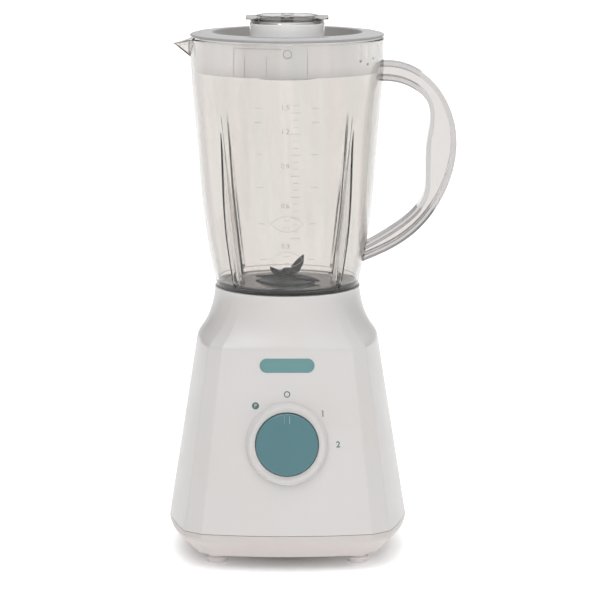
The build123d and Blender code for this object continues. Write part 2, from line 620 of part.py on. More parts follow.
def shifted(curve_edge, distance):
    """Spline beside a curve in the XZ plane, moved to its left by distance."""
    points = []
    for i in range(25):
        spot, way = curve_edge @ (i / 24), curve_edge % (i / 24)
        points.append(spot + Vector(-way.Z, 0, way.X) * distance)
    return Spline(*points)


def loop_face(outer, inner):
    return make_face([outer, Line(outer @ 1, inner @ 0), inner, Line(inner @ 1, outer @ 0)])


def handle():
    """Open loop with an I-shaped section, its ends let into the jug's wall."""
    outer = Spline(*[(x, 0, z) for x, z in HANDLE_OUTER])
    inner = Spline(*[(x, 0, z) for x, z in HANDLE_INNER])
    solid = extrude(loop_face(outer, inner), HANDLE_DEPTH / 2, both=True)
    web = loop_face(shifted(outer, -HANDLE_FLANGE), shifted(inner, -HANDLE_FLANGE))
    for side in (-1, 1):
        pocket = extrude(web, 20.0, dir=(0, side, 0))
        solid = solid - Pos(0, side * HANDLE_WEB / 2, 0) * pocket
    return solid - jug_profile(-WELD_GAP, JUG_BASE_Z, JUG_RIM_Z)


# ---------------------------------------------------------------- blade unit
def blade_holder():
    """Bearing housing: a flange on the jug's floor and a threaded stem through it."""
    outline = [(0, HOLDER_TOP_Z), (9.0, HOLDER_TOP_Z), (20.0, JUG_FLOOR_Z + 1.7), (21.0, JUG_FLOOR_Z + 1.2),
               (21.0, JUG_FLOOR_Z + 0.9), (15.7, JUG_FLOOR_Z + 0.9), (15.7, 191.0), (0, 191.0)]
    return turned(outline) - rod(6.4, 180.0, 210.0)


def holder_seal():
    return tube(15.8, 20.6, JUG_FLOOR_Z, JUG_FLOOR_Z + 0.9)


def holder_nut():
    """Lugged ring nut that clamps the blade holder from below."""
    low, high = 192.0, 197.6
    ring = tube(15.75, 21.5, low, high) + tube(15.75, 25.0, high - 1.6, high)
    lug = block(5.0, 4.0, low, high, 22.5)
    return joined([ring, *around(lug, 6)])


def blade_bushes():
    upper = tube(SHAFT_R + RUN, 6.4, 199.5, HOLDER_TOP_Z)
    lower = tube(SHAFT_R + RUN, 6.4, 191.0, 196.0)
    return group([upper, lower])


def blade_shaft():
    return rod(SHAFT_R, 186.3, BLADE_Z) + rod(3.0, BLADE_Z - 1.0, BLADE_Z + 5.6)


def blade_washer():
    return tube(3.0, 7.0, BLADE_Z, BLADE_Z + 0.6)


def wing(reach, rise, root_z, width):
    """One sharpened blade wing along +X: flat at the hub, then bent up or down to its tip."""
    bend = 9.0
    outline = Polyline((bend - 0.3, -width / 2), (reach * 0.55, -width / 2 - 0.6), (reach, width * 0.12),
                       (reach * 0.9, width / 2), (bend - 0.3, width / 2), close=True)
    flat = extrude(make_face(outline), BLADE_T)
    angle = degrees(atan(rise / (reach - bend)))
    return Pos(bend, 0, root_z) * Rot(0, -angle, 0) * Pos(-bend, 0, 0) * flat


def blade(turn, reach, rise, root_z, width):
    """Cross blade pressed from sheet: a hub plate and two bent wings."""
    hub = block(2 * 9.4, width, root_z, root_z + BLADE_T) & rod(9.4, root_z, root_z + BLADE_T)
    wings = around(wing(reach, rise, root_z, width), 2)
    return Rot(0, 0, turn) * (joined([hub, *wings]) - rod(3.0, root_z - 2, root_z + 4))


LOWER_BLADE_Z = BLADE_Z + 0.6
UPPER_BLADE_Z = LOWER_BLADE_Z + BLADE_T


def blade_nut():
    """Domed cap nut on the blade shaft."""
    low = UPPER_BLADE_Z + BLADE_T
    hexagon = Pos(0, 0, low) * extrude(RegularPolygon(5.2, 6), 2.4)
    dome = turned([(0, low + 2.2), (4.2, low + 2.2), (3.4, low + 3.4), (1.8, low + 4.1), (0, low + 4.2)])
    return hexagon + dome - rod(3.0, low - 1, BLADE_Z + 5.6)


# ---------------------------------------------------------------- lid and cap
def lid():
    """Recessed lid with a skirt that plugs the jug, a filler collar, and strainer slots on one side."""
    t = 2.2
    collar_in, skirt_in, under_top = FILLER_R - FILLER_WALL, LID_SKIRT_R - 2.0, LID_TOP_Z - 3.2
    outline = [
        (collar_in, LID_FLOOR_Z - t - 2.0), (collar_in, FILLER_Z), (FILLER_R, FILLER_Z),
        (FILLER_R, LID_FLOOR_Z), (LID_RECESS_FLOOR_R, LID_FLOOR_Z), (LID_RECESS_R, LID_TOP_Z - 0.6),
        (LID_RECESS_R + 1.2, LID_TOP_Z), (LID_FLANGE_R - 1.0, LID_TOP_Z - 0.5),
        (LID_FLANGE_R, LID_TOP_Z - 1.4), (LID_FLANGE_R, LID_FLANGE_Z), (LID_SKIRT_R, LID_FLANGE_Z),
        (LID_SKIRT_R - 0.2, LID_SKIRT_Z), (skirt_in, LID_SKIRT_Z), (skirt_in, under_top),
        (LID_RECESS_R + 1.2, under_top), (LID_RECESS_FLOOR_R + 1.4, LID_FLOOR_Z - t),
        (FILLER_R, LID_FLOOR_Z - t), (FILLER_R, LID_FLOOR_Z - t - 2.0)]
    body = turned(outline)
    slots = []
    for angle, length in STRAINER:
        slot = extrude(SlotOverall(length, 3.2), 4.0, both=True)
        slot = Pos(LID_SKIRT_R, 0, LID_FLANGE_Z - 0.4 - length / 2) * Rot(0, 90, 0) * slot
        slots += [Rot(0, 0, sign * angle) * slot for sign in (-1, 1)]
    return body - joined(slots)


def measuring_cap():
    """Clear measuring cup that hangs mouth down in the filler collar, with a grip bar and two finger tabs."""
    bore = FILLER_R - FILLER_WALL
    outline = [(0, CAP_TOP_Z - 2.4), (20.4, CAP_TOP_Z - 2.4), (20.4, CAP_TOP_Z), (22.4, CAP_TOP_Z),
               (22.6, CAP_TOP_Z - 0.4), (22.6, 398.2), (25.6, 397.4), (27.2, 397.0), (27.2, 395.1),
               (bore - 0.4, 395.1), (22.6, CAP_MOUTH_Z),
               (20.9, CAP_MOUTH_Z), (bore - 2.4, 394.0), (20.0, 396.4), (0, 396.4)]
    body = turned(outline)
    bar = block(9.0, 42.0, CAP_TOP_Z - 2.6, CAP_TOP_Z - 0.2)
    bar = bar - block(4.0, 30.0, CAP_TOP_Z - 1.4, CAP_TOP_Z + 1)
    tab = block(10.2, 15.0, 397.6, 400.1, 25.2)
    tab = fillet(tab.edges().filter_by(Axis.Z).sort_by(Axis.X)[-2:], 3.5)
    return joined([body, bar, *around(tab, 2)])


# ---------------------------------------------------------------- write the nodes
NODES = {
    "housing": housing, "neck": neck, "well_cup": well_cup, "base_plate": base_plate, "badge_plate": badge,
    "base_screws": base_screws,
    "cord_gland": cord_gland, "terminal_block": terminal_block,
    "speed_knob": knob, "switch_shaft": switch_shaft, "rotary_switch": rotary_switch,
    "switch_screws": switch_screws,
    "field_stack": field_stack, "field_coils": field_coils, "lower_bracket": lower_bracket,
    "upper_bracket": upper_bracket, "motor_bushes": motor_bushes, "through_bolts": through_bolts,
    "motor_mounts": motor_mounts, "motor_screws": motor_screws, "brush_holders": brush_holders,
    "carbon_brushes": carbon_brushes, "brush_springs": brush_springs, "shaft_seal": shaft_seal,
    "motor_shaft": motor_shaft, "armature_core": armature_core, "armature_windings": armature_windings,
    "commutator": commutator, "cooling_fan": cooling_fan, "drive_coupling": drive_coupling,
    "jug": jug, "jug_handle": handle, "blade_holder": blade_holder, "holder_seal": holder_seal,
    "holder_nut": holder_nut, "blade_bushes": blade_bushes,
    "blade_shaft": blade_shaft, "blade_washer": blade_washer, "jug_coupling": jug_coupling,
    "blade_nut": blade_nut,
    "lower_blade": lambda: blade(LOWER_BLADE_TURN, LOWER_TIP_R, LOWER_TIP_RISE, LOWER_BLADE_Z, 11.0),
    "upper_blade": lambda: blade(UPPER_BLADE_TURN, UPPER_TIP_R, UPPER_TIP_RISE, UPPER_BLADE_Z, 12.0),
    "lid": lid, "measuring_cap": measuring_cap,
}
for side_name, x in (("left", -FOOT_X), ("right", FOOT_X)):
    for end_name, y in (("front", -FOOT_Y), ("rear", FOOT_Y)):
        NODES[f"foot_{end_name}_{side_name}"] = lambda x=x, y=y: foot(x, y)

if __name__ == "__main__":
    os.makedirs("parts", exist_ok=True)
    for name, make in NODES.items():
        shape = make()
        shape.label = name
        export_step(shape, f"parts/{name}.step")
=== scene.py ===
"""Looks of the countertop blender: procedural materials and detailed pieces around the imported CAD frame."""

import json
import math

import bmesh
import bpy
import numpy as np
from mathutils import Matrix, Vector
from mathutils.bvhtree import BVHTree


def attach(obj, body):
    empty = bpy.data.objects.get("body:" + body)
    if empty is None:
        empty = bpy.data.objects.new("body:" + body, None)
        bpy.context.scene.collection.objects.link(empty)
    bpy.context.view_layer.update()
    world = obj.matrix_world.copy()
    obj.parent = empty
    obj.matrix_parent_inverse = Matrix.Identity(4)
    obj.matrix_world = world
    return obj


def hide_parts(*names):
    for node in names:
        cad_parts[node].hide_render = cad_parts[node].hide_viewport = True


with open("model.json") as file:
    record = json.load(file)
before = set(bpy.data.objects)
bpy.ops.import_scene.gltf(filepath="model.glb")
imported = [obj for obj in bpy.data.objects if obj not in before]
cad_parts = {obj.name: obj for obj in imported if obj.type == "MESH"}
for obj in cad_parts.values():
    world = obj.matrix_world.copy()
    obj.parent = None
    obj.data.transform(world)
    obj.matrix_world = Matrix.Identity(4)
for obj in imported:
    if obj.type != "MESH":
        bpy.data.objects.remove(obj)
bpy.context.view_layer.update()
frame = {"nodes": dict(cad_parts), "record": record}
NODES = frame["nodes"]
MM = 0.001


# ---------------------------------------------------------------- node helpers
def new_material(name):
    mat = bpy.data.materials.new(name)
    mat.use_nodes = True
    tree = mat.node_tree
    shader = tree.nodes["Principled BSDF"]
    return mat, tree, shader


def link(tree, source, target):
    tree.links.new(source, target)


def object_coords(tree, scale=(1, 1, 1), turn=(0, 0, 0)):
    """Object coordinates, scaled and turned."""
    coords = tree.nodes.new("ShaderNodeTexCoord")
    mapping = tree.nodes.new("ShaderNodeMapping")
    mapping.inputs["Scale"].default_value = scale
    mapping.inputs["Rotation"].default_value = turn
    link(tree, coords.outputs["Object"], mapping.inputs["Vector"])
    return mapping.outputs["Vector"]


def noise(tree, vector, scale, detail=2.0, roughness=0.5, distortion=0.0):
    node = tree.nodes.new("ShaderNodeTexNoise")
    node.inputs["Scale"].default_value = scale
    node.inputs["Detail"].default_value = detail
    node.inputs["Roughness"].default_value = roughness
    node.inputs["Distortion"].default_value = distortion
    link(tree, vector, node.inputs["Vector"])
    return node.outputs["Fac"]


def spread(tree, value, low, high, from_low=0.3, from_high=0.7):
    """Value mapped from one range to another and clamped."""
    node = tree.nodes.new("ShaderNodeMapRange")
    node.inputs["From Min"].default_value = from_low
    node.inputs["From Max"].default_value = from_high
    node.inputs["To Min"].default_value = low
    node.inputs["To Max"].default_value = high
    link(tree, value, node.inputs["Value"])
    return node.outputs["Result"]


def ramp(tree, value, stops):
    """Colour ramp with (position, colour) stops."""
    node = tree.nodes.new("ShaderNodeValToRGB")
    elements = node.color_ramp.elements
    while len(elements) < len(stops):
        elements.new(0.5)
    for element, (position, colour) in zip(elements, stops):
        element.position = position
        element.color = (*colour, 1.0)
    link(tree, value, node.inputs["Fac"])
    return node.outputs["Color"]


def bump(tree, shader, height, strength, distance):
    node = tree.nodes.new("ShaderNodeBump")
    node.inputs["Strength"].default_value = strength
    node.inputs["Distance"].default_value = distance
    link(tree, height, node.inputs["Height"])
    link(tree, node.outputs["Normal"], shader.inputs["Normal"])
    return node


def math_node(tree, operation, a, b):
    """Math node of a socket or number with another."""
    node = tree.nodes.new("ShaderNodeMath")
    node.operation = operation
    for i, value in enumerate((a, b)):
        if isinstance(value, (int, float)):
            node.inputs[i].default_value = value
        else:
            link(tree, value, node.inputs[i])
    return node.outputs[0]


def distance_from_axis(tree, where):
    """Distance of a point from the upright drive axis."""
    split = tree.nodes.new("ShaderNodeSeparateXYZ")
    link(tree, where, split.inputs["Vector"])
    across = math_node(tree, "MULTIPLY", split.outputs["X"], split.outputs["X"])
    deep = math_node(tree, "MULTIPLY", split.outputs["Y"], split.outputs["Y"])
    return math_node(tree, "SQRT", math_node(tree, "ADD", across, deep), 0.0)


def tone(colour, factor):
    return tuple(min(1.0, c * factor) for c in colour)


def edge_tint(tree, colour, edge):
    """Tint of clear plastic, deeper where the wall is seen edge on, as a thick wall is."""
    facing = tree.nodes.new("ShaderNodeLayerWeight")
    facing.inputs["Blend"].default_value = 0.5
    clear = (1.0, 1.0, 1.0)
    depth = ramp(tree, facing.outputs["Facing"],
                 [(0.0, clear), (0.55, clear), (0.74, edge), (1.0, tone(edge, 0.8))])
    return multiply(tree, colour, depth)


def multiply(tree, a, b):
    """Product of two colours."""
    mix = tree.nodes.new("ShaderNodeMix")
    mix.data_type = "RGBA"
    mix.blend_type = "MULTIPLY"
    mix.inputs["Factor"].default_value = 1.0
    link(tree, a, mix.inputs[6])
    link(tree, b, mix.inputs[7])
    return mix.outputs[2]


def absorb(tree, colour, density):
    """Tint that deepens with the thickness of plastic the light passes through."""
    volume = tree.nodes.new("ShaderNodeVolumeAbsorption")
    volume.inputs["Color"].default_value = (*colour, 1.0)
    volume.inputs["Density"].default_value = density
    link(tree, volume.outputs["Volume"], tree.nodes["Material Output"].inputs["Volume"])


# ---------------------------------------------------------------- materials
def moulded_plastic(name, colour, rough=0.34, vary=0.03, grain=0.25, coat=0.0):
    """Opaque injection-moulded plastic: faint flow clouds, fine texture grain, uneven gloss."""
    mat, tree, shader = new_material(name)
    where = object_coords(tree)
    clouds = noise(tree, where, 14.0, 4.0, 0.55, 0.6)
    warm = tuple(c * f for c, f in zip(tone(colour, 1 - vary / 2), (1.008, 0.992, 0.982)))
    link(tree, ramp(tree, clouds, [(0.3, warm), (0.5, colour), (0.72, tone(colour, 1 + vary / 2))]),
         shader.inputs["Base Color"])
    polish = noise(tree, where, 60.0, 3.0)
    link(tree, spread(tree, polish, rough * 0.88, rough * 1.14), shader.inputs["Roughness"])
    bump(tree, shader, noise(tree, where, 2600.0, 2.0, 0.6), grain, 0.00006)
    shader.inputs["Coat Weight"].default_value = coat
    shader.inputs["Coat Roughness"].default_value = 0.18
    shader.inputs["IOR"].default_value = 1.5
    return mat


EDGE_TINT = (0.70, 0.69, 0.69)


def clear_plastic(name, colour, depth, density, rough=0.03, ior=1.5, ripple=0.12, scale=55.0):
    """Clear moulded plastic: tinted transmission, slight ripple from the mould, uneven polish."""
    mat, tree, shader = new_material(name)
    where = object_coords(tree)
    clouds = noise(tree, where, 18.0, 3.0, 0.5)
    shade = ramp(tree, clouds, [(0.3, tone(colour, 0.992)), (0.7, tone(colour, 1.006))])
    link(tree, edge_tint(tree, shade, EDGE_TINT), shader.inputs["Base Color"])
    polish = noise(tree, where, 90.0, 3.0)
    link(tree, spread(tree, polish, rough * 0.6, rough * 1.5), shader.inputs["Roughness"])
    shader.inputs["Transmission Weight"].default_value = 1.0
    shader.inputs["IOR"].default_value = ior
    bump(tree, shader, noise(tree, object_coords(tree, (1, 1, 0.35)), scale, 2.0, 0.4), ripple, 0.0004)
    absorb(tree, depth, density)
    return mat


JUG_BANDS = [(0.30, (0.765, 0.738, 0.710)), (0.42, (0.815, 0.778, 0.758)), (0.52, (0.792, 0.778, 0.75)),
             (0.62, (0.828, 0.805, 0.786)), (0.72, (0.772, 0.768, 0.745))]
JUG_DEPTH, JUG_DENSITY = (0.74, 0.737, 0.733), 100.0


def jug_plastic(name):
    """Clear jug wall: grey tint with faint upright bands of warmer and cooler tone, as thickness varies."""
    mat, tree, shader = new_material(name)
    bands = noise(tree, object_coords(tree, (1, 1, 0.06)), 46.0, 3.0, 0.6, 0.4)
    shade = ramp(tree, bands, JUG_BANDS)
    link(tree, edge_tint(tree, shade, EDGE_TINT), shader.inputs["Base Color"])
    shader.inputs["Specular IOR Level"].default_value = 0.25
    polish = noise(tree, object_coords(tree), 90.0, 3.0)
    link(tree, spread(tree, polish, 0.015, 0.045), shader.inputs["Roughness"])
    shader.inputs["Transmission Weight"].default_value = 1.0
    shader.inputs["IOR"].default_value = 1.5
    bump(tree, shader, noise(tree, object_coords(tree, (1, 1, 0.3)), 60.0, 2.0, 0.4), 0.1, 0.0004)
    absorb(tree, JUG_DEPTH, JUG_DENSITY)
    return mat


# Base colour of the lid's upward faces by share of 80 mm from the axis: collar, recess, flange. The darker
# recess and flange colours are painted shade.
LID_TOP_SHADE = [(0.349, (1.0, 0.985, 0.965)), (0.352, (0.25, 0.243, 0.237)), (0.690, (0.285, 0.278, 0.272)),
            (0.700, (0.335, 0.325, 0.325)), (1.0, (0.335, 0.328, 0.326))]
# Painted light: emission strengths that make the lid's skirt glow as if lit from behind.
SKIRT_GLOW_LOW, SKIRT_GLOW_HIGH = 0.20, 0.28
SKIRT_CLARITY = 0.5


def lid_plastic(name, colour):
    """Translucent plastic: half clear in the skirt with a faint painted glow as of light from behind, milky
    in the collar, with painted shade on the upward faces of the recess and flange and on the flange's edge.
    """
    mat, tree, shader = new_material(name)
    where = object_coords(tree)
    radius = distance_from_axis(tree, where)
    coords = tree.nodes.new("ShaderNodeTexCoord")
    split = tree.nodes.new("ShaderNodeSeparateXYZ")
    link(tree, coords.outputs["Normal"], split.inputs["Vector"])
    # Painted shade: upward faces, and the flange's outer edge all round, take the darker top colours listed
    # above.
    upward = spread(tree, split.outputs["Z"], 0.0, 1.0, 0.15, 0.35)
    top_shade_mask = math_node(tree, "MAXIMUM", upward, spread(tree, radius, 0.0, 1.0, 0.0683, 0.0687))
    clouds = noise(tree, where, 20.0, 3.0)
    shade = ramp(tree, clouds, [(0.3, tone(colour, 0.985)), (0.7, tone(colour, 1.015))])
    top_shade_colour = ramp(tree, spread(tree, radius, 0.0, 1.0, 0.0, 0.08), LID_TOP_SHADE)
    mix = tree.nodes.new("ShaderNodeMix")
    mix.data_type = "RGBA"
    link(tree, top_shade_mask, mix.inputs["Factor"])
    mix.inputs[6].default_value = (1.0, 1.0, 1.0, 1.0)
    link(tree, top_shade_colour, mix.inputs[7])
    link(tree, multiply(tree, shade, mix.outputs[2]), shader.inputs["Base Color"])
    skirt = math_node(tree, "MULTIPLY", spread(tree, radius, 0.0, 1.0, 0.0655, 0.0662),
                      math_node(tree, "SUBTRACT", 1.0, top_shade_mask))
    link(tree, math_node(tree, "MULTIPLY", skirt, SKIRT_CLARITY), shader.inputs["Transmission Weight"])
    bands = noise(tree, object_coords(tree, (1, 1, 0.08)), 30.0, 3.0, 0.5)
    shader.inputs["Emission Color"].default_value = (0.985, 0.99, 1.0, 1.0)
    # Painted light: the skirt glows faintly, in soft upright bands.
    glow = spread(tree, bands, SKIRT_GLOW_LOW, SKIRT_GLOW_HIGH)
    link(tree, math_node(tree, "MULTIPLY", skirt, glow), shader.inputs["Emission Strength"])
    link(tree, spread(tree, noise(tree, where, 60.0, 3.0), 0.03, 0.06), shader.inputs["Roughness"])
    shader.inputs["IOR"].default_value = 1.5
    bump(tree, shader, noise(tree, where, 70.0, 2.0), 0.06, 0.0002)
    return mat


def metal(name, colour, rough=0.3, stretch=(1, 1, 30), scale=90.0, aniso=0.0, metallic=1.0):
    """Metal with drawn, ground or turned marks along one direction."""
    mat, tree, shader = new_material(name)
    marks = noise(tree, object_coords(tree, stretch), scale, 5.0, 0.65)
    link(tree, ramp(tree, marks, [(0.3, tone(colour, 0.82)), (0.7, tone(colour, 1.12))]),
         shader.inputs["Base Color"])
    link(tree, spread(tree, marks, rough * 0.75, rough * 1.3), shader.inputs["Roughness"])
    shader.inputs["Metallic"].default_value = metallic
    shader.inputs["Anisotropic"].default_value = aniso
    bump(tree, shader, marks, 0.2, 0.00008)
    return mat


def rubber(name, colour):
    """Matt rubber, felt or carbon: soft clouds and a coarse grain."""
    mat, tree, shader = new_material(name)
    where = object_coords(tree)
    clouds = noise(tree, where, 40.0, 4.0)
    link(tree, ramp(tree, clouds, [(0.3, tone(colour, 0.93)), (0.7, tone(colour, 1.05))]),
         shader.inputs["Base Color"])
    link(tree, spread(tree, noise(tree, where, 200.0, 3.0), 0.55, 0.72), shader.inputs["Roughness"])
    bump(tree, shader, noise(tree, where, 1500.0, 3.0), 0.35, 0.0001)
    return mat


# Painted light: the floor glows, not at all near the axis, so the shadow under the base stays and the shadow
# round it is lightened.
FLOOR_GLOW = 0.3
GLOW_FROM, GLOW_FULL = 0.035, 0.09      # metres from the axis


def stage_floor():
    """Pale paper with a painted glow that rises away from the base, lightening the soft shadow round it, so
    that it stays white under soft light.
    """
    mat, tree, shader = new_material("floor")
    where = object_coords(tree)
    clouds = noise(tree, where, 3.0, 3.0)
    link(tree, ramp(tree, clouds, [(0.3, (0.94, 0.94, 0.94)), (0.7, (0.96, 0.96, 0.96))]),
         shader.inputs["Base Color"])
    shader.inputs["Roughness"].default_value = 0.75
    shader.inputs["Specular IOR Level"].default_value = 0.25
    shader.inputs["Emission Color"].default_value = (1.0, 1.0, 1.0, 1.0)
    link(tree, spread(tree, distance_from_axis(tree, where), 0.0, FLOOR_GLOW, GLOW_FROM, GLOW_FULL),
         shader.inputs["Emission Strength"])
    return mat


WHITE = (0.613, 0.595, 0.585)
MATERIALS = {
    "white_plastic": moulded_plastic("casing_plastic", WHITE, 0.33),
    "white_plastic_base": moulded_plastic("base_plastic", (0.572, 0.530, 0.512), 0.36),
    "teal_badge": moulded_plastic("badge_plastic", (0.128, 0.270, 0.272), 0.34, 0.012),
    "teal_knob": moulded_plastic("knob_plastic", (0.076, 0.183, 0.205), 0.36, 0.03, 0.3),
    "foot_rubber": rubber("foot_rubber", (0.93, 0.89, 0.885)),
    "grey_rubber": rubber("grey_rubber", (0.36, 0.35, 0.34)),
    "black_rubber": rubber("black_rubber", (0.03, 0.03, 0.03)),
    "black_plastic": moulded_plastic("black_plastic", (0.03, 0.031, 0.033), 0.45, 0.1),
    "holder_plastic": moulded_plastic("holder_plastic", (0.12, 0.175, 0.19), 0.4, 0.1),
    "brown_plastic": moulded_plastic("brown_plastic", (0.12, 0.05, 0.025), 0.5, 0.12),
    "switch_plastic": moulded_plastic("switch_plastic", (0.6, 0.585, 0.55), 0.42),
    "carbon": rubber("carbon", (0.045, 0.045, 0.047)),
    "blade_steel": metal("blade_steel", (0.024, 0.0235, 0.025), 0.42, (1, 22, 1), 120.0),
    "ground_steel": metal("ground_steel", (0.5, 0.5, 0.5), 0.25, (1, 1, 30)),
    "spring_steel": metal("spring_steel", (0.42, 0.42, 0.42), 0.3),
    "zinc_steel": metal("zinc_steel", (0.56, 0.56, 0.54), 0.36, (1, 1, 1), 240.0),
    "bronze": metal("bronze", (0.46, 0.28, 0.12), 0.5, (1, 1, 1), 500.0),
    "copper_wire": metal("copper_wire", (0.5, 0.17, 0.06), 0.32, (1, 1, 18), 220.0),
    "commutator_copper": metal("commutator_copper", (0.6, 0.28, 0.13), 0.3, (1, 1, 40)),
    "lamination_iron": metal("lamination_iron", (0.14, 0.14, 0.145), 0.5, (1, 1, 45)),
    "cast_bracket": metal("cast_bracket", (0.5, 0.5, 0.51), 0.55, (1, 1, 1), 420.0),
    "clear_plastic": jug_plastic("jug_plastic"),
    "clear_handle": clear_plastic("handle_plastic", (0.585, 0.56, 0.545), (0.85, 0.85, 0.86), 85.0, 0.04),
    "lid_plastic": lid_plastic("lid_plastic", (0.96, 0.957, 0.955)),
    "cap_plastic": clear_plastic("cap_plastic", (0.66, 0.65, 0.64), (0.60, 0.60, 0.60), 90.0, 0.05),
    "print_ink": moulded_plastic("print_ink", (0.075, 0.135, 0.14), 0.5, 0.06),
    "scale_relief": moulded_plastic("scale_relief", (0.40, 0.39, 0.385), 0.4, 0.05),
    "lid_marks": moulded_plastic("lid_marks", (0.36, 0.36, 0.36), 0.4, 0.05),
    # Painted highlight: the lit edges of the knob's pointer notch.
    "pointer_notch_highlight": moulded_plastic("pointer_notch_highlight", (0.30, 0.45, 0.47), 0.4, 0.05),
}


def dress(obj, material):
    """Gives every material slot of an object one material."""
    obj.data.materials.clear()
    obj.data.materials.append(material)


def dress_cad_nodes():
    for part in frame["record"]["subparts"]:
        dress(NODES[part["node"]], MATERIALS[part["material_slot"]])


# ---------------------------------------------------------------- mesh helpers
def smooth_curve(points):
    """Natural cubic spline through (x, y) points, as a function of x."""
    xs, ys = [p[0] for p in points], [p[1] for p in points]
    n = len(xs)
    gaps = np.diff(xs)
    matrix, right = np.zeros((n, n)), np.zeros(n)
    matrix[0, 0] = matrix[-1, -1] = 1.0
    for i in range(1, n - 1):
        matrix[i, i - 1:i + 2] = gaps[i - 1], 2 * (gaps[i - 1] + gaps[i]), gaps[i]
        right[i] = 6 * ((ys[i + 1] - ys[i]) / gaps[i] - (ys[i] - ys[i - 1]) / gaps[i - 1])
    bend = np.linalg.solve(matrix, right)

    def value(x):
        i = min(max(int(np.searchsorted(xs, x)) - 1, 0), n - 2)
        left, ahead, gap = x - xs[i], xs[i + 1] - x, gaps[i]
        cubic = (bend[i] * ahead ** 3 + bend[i + 1] * left ** 3) / (6 * gap)
        before = (ys[i] / gap - bend[i] * gap / 6) * ahead
        return cubic + before + (ys[i + 1] / gap - bend[i + 1] * gap / 6) * left
    return value


def face_outward(mesh):
    bm = bmesh.new()
    bm.from_mesh(mesh)
    bmesh.ops.recalc_face_normals(bm, faces=bm.faces)
    bm.to_mesh(mesh)
    bm.free()


def linked(name, data):
    """New object of some data, linked to the scene."""
    obj = bpy.data.objects.new(name, data)
    bpy.context.scene.collection.objects.link(obj)
    return obj


def piece(name, verts, faces, body, material, sharp=38.0):
    """Makes a mesh object from millimetre points, smooth but for its sharp edges, riding on a body."""
    mesh = bpy.data.meshes.new(name)
    mesh.from_pydata([tuple(c * MM for c in v) for v in verts], [], faces)
    mesh.validate()
    face_outward(mesh)
    mesh.polygons.foreach_set("use_smooth", [True] * len(mesh.polygons))
    mesh.set_sharp_from_angle(angle=math.radians(sharp))
    obj = linked(name, mesh)
    dress(obj, material)
    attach(obj, body)
    return obj


def bevel(obj, width, segments=3, angle=40.0):
    modifier = obj.modifiers.new("edge_rounding", "BEVEL")
    modifier.width = width * MM
    modifier.segments = segments
    modifier.limit_method = "ANGLE"
    modifier.angle_limit = math.radians(angle)
    modifier.harden_normals = True


def ring_faces(rows, columns, close_rows):
    """Quads of a grid whose columns go once round and whose rows may also close on themselves."""
    faces = []
    for i in range(rows if close_rows else rows - 1):
        lower, upper = i * columns, ((i + 1) % rows) * columns
        for j in range(columns):
            k = (j + 1) % columns
            faces.append((lower + j, lower + k, upper + k, upper + j))
    return faces


def on_circle(radius, k, steps):
    """The k-th of evenly spaced points on a circle."""
    angle = 2 * math.pi * k / steps
    return radius * math.cos(angle), radius * math.sin(angle)


def spun(x, y, turn):
    """A point turned about the axis by an angle in radians."""
    return x * math.cos(turn) - y * math.sin(turn), x * math.sin(turn) + y * math.cos(turn)


def arc(centre_r, centre_z, radius, start, end, steps):
    """Points of a rounded profile corner, angles in degrees."""
    points = []
    for i in range(steps + 1):
        angle = math.radians(start + (end - start) * i / steps)
        points.append((centre_r + radius * math.cos(angle), centre_z + radius * math.sin(angle)))
    return points


# ---------------------------------------------------------------- jug
JUG_RIM, JUG_LOW, JUG_FLOOR = 384.3, 200.3, 203.0
JUG_WALL = 2.6
jug_radius = smooth_curve([(200.3, 52.6), (207.5, 54.3), (226.0, 58.0), (255.5, 62.4), (305.0, 66.5),
                           (342.0, 69.6), (366.0, 71.1), (384.3, 71.2)])
FLUTE_LOW, FLUTE_HIGH = 199.3, 331.0
FLUTE_FOOT, FLUTE_RUN_OUT = 203.4, 5.0
FLUTE_OUTSIDE = (49.6, 69.0, 0.53, 50.4)        # apex radius low and high, widening, least radius
FLUTE_INSIDE = (44.4, 66.0, 0.6, 40.0)
SPOUT_START, SPOUT_DROP = 68.0, 0.2756
SPOUT_ROOT_Z, SPOUT_SIDE = 370.0, 40.0          # lowest point, and how far round it reaches in degrees
SPOUT_ZONE_Z = 365.0                            # above this the rows follow the sloping rim
JUG_FOOT_Z, JUG_FOOT_R = 201.5, 1.2
JUG_CORNER_Z, JUG_CORNER_R = 207.0, 4.0
BLADE_HOLE_R = 16.0


def flute_bell(angle, z, radius, apex_low, apex_high, widening, least):
    """How far a flute presses the wall in at this angle and height."""
    apex = max(least, apex_low + (z - FLUTE_LOW) / (FLUTE_HIGH - FLUTE_LOW) * (apex_high - apex_low))
    depth = radius - apex
    if depth <= 0.02:
        return 0.0
    off = math.degrees(angle) % 90.0 - 45.0
    depth *= min(1.0, max(0.0, (z - FLUTE_FOOT) / FLUTE_RUN_OUT))
    share = abs(math.radians(off) * radius) / (widening * depth + 0.35)
    return depth * 0.5 * (1 + math.cos(math.pi * share)) if share < 1 else 0.0


def soft_max(a, b, blend):
    """The larger of two numbers, rounded over where they meet."""
    share = max(blend - abs(a - b), 0.0) / blend
    return max(a, b) + share * share * blend / 4


def spout_radius(angle, z, inset):
    """Radius of the pointed spout in this direction, or 0 off the spout."""
    turn = abs(math.degrees(angle) % 360.0 - 180.0)
    if turn > SPOUT_SIDE or z < SPOUT_ROOT_Z - 1.0:
        return 0.0
    root = SPOUT_START - 6.0
    tip = 71.4 + 1.22 * (z - SPOUT_ROOT_Z) - 1.4 * inset
    half_width = max(0.5, 5.0 + 20.0 * (z - SPOUT_ROOT_Z) / (JUG_RIM - SPOUT_ROOT_Z) - inset)
    slope = (tip - root) / half_width
    reach = tip / (1 + slope * math.tan(math.radians(turn)))
    return reach / math.cos(math.radians(turn))


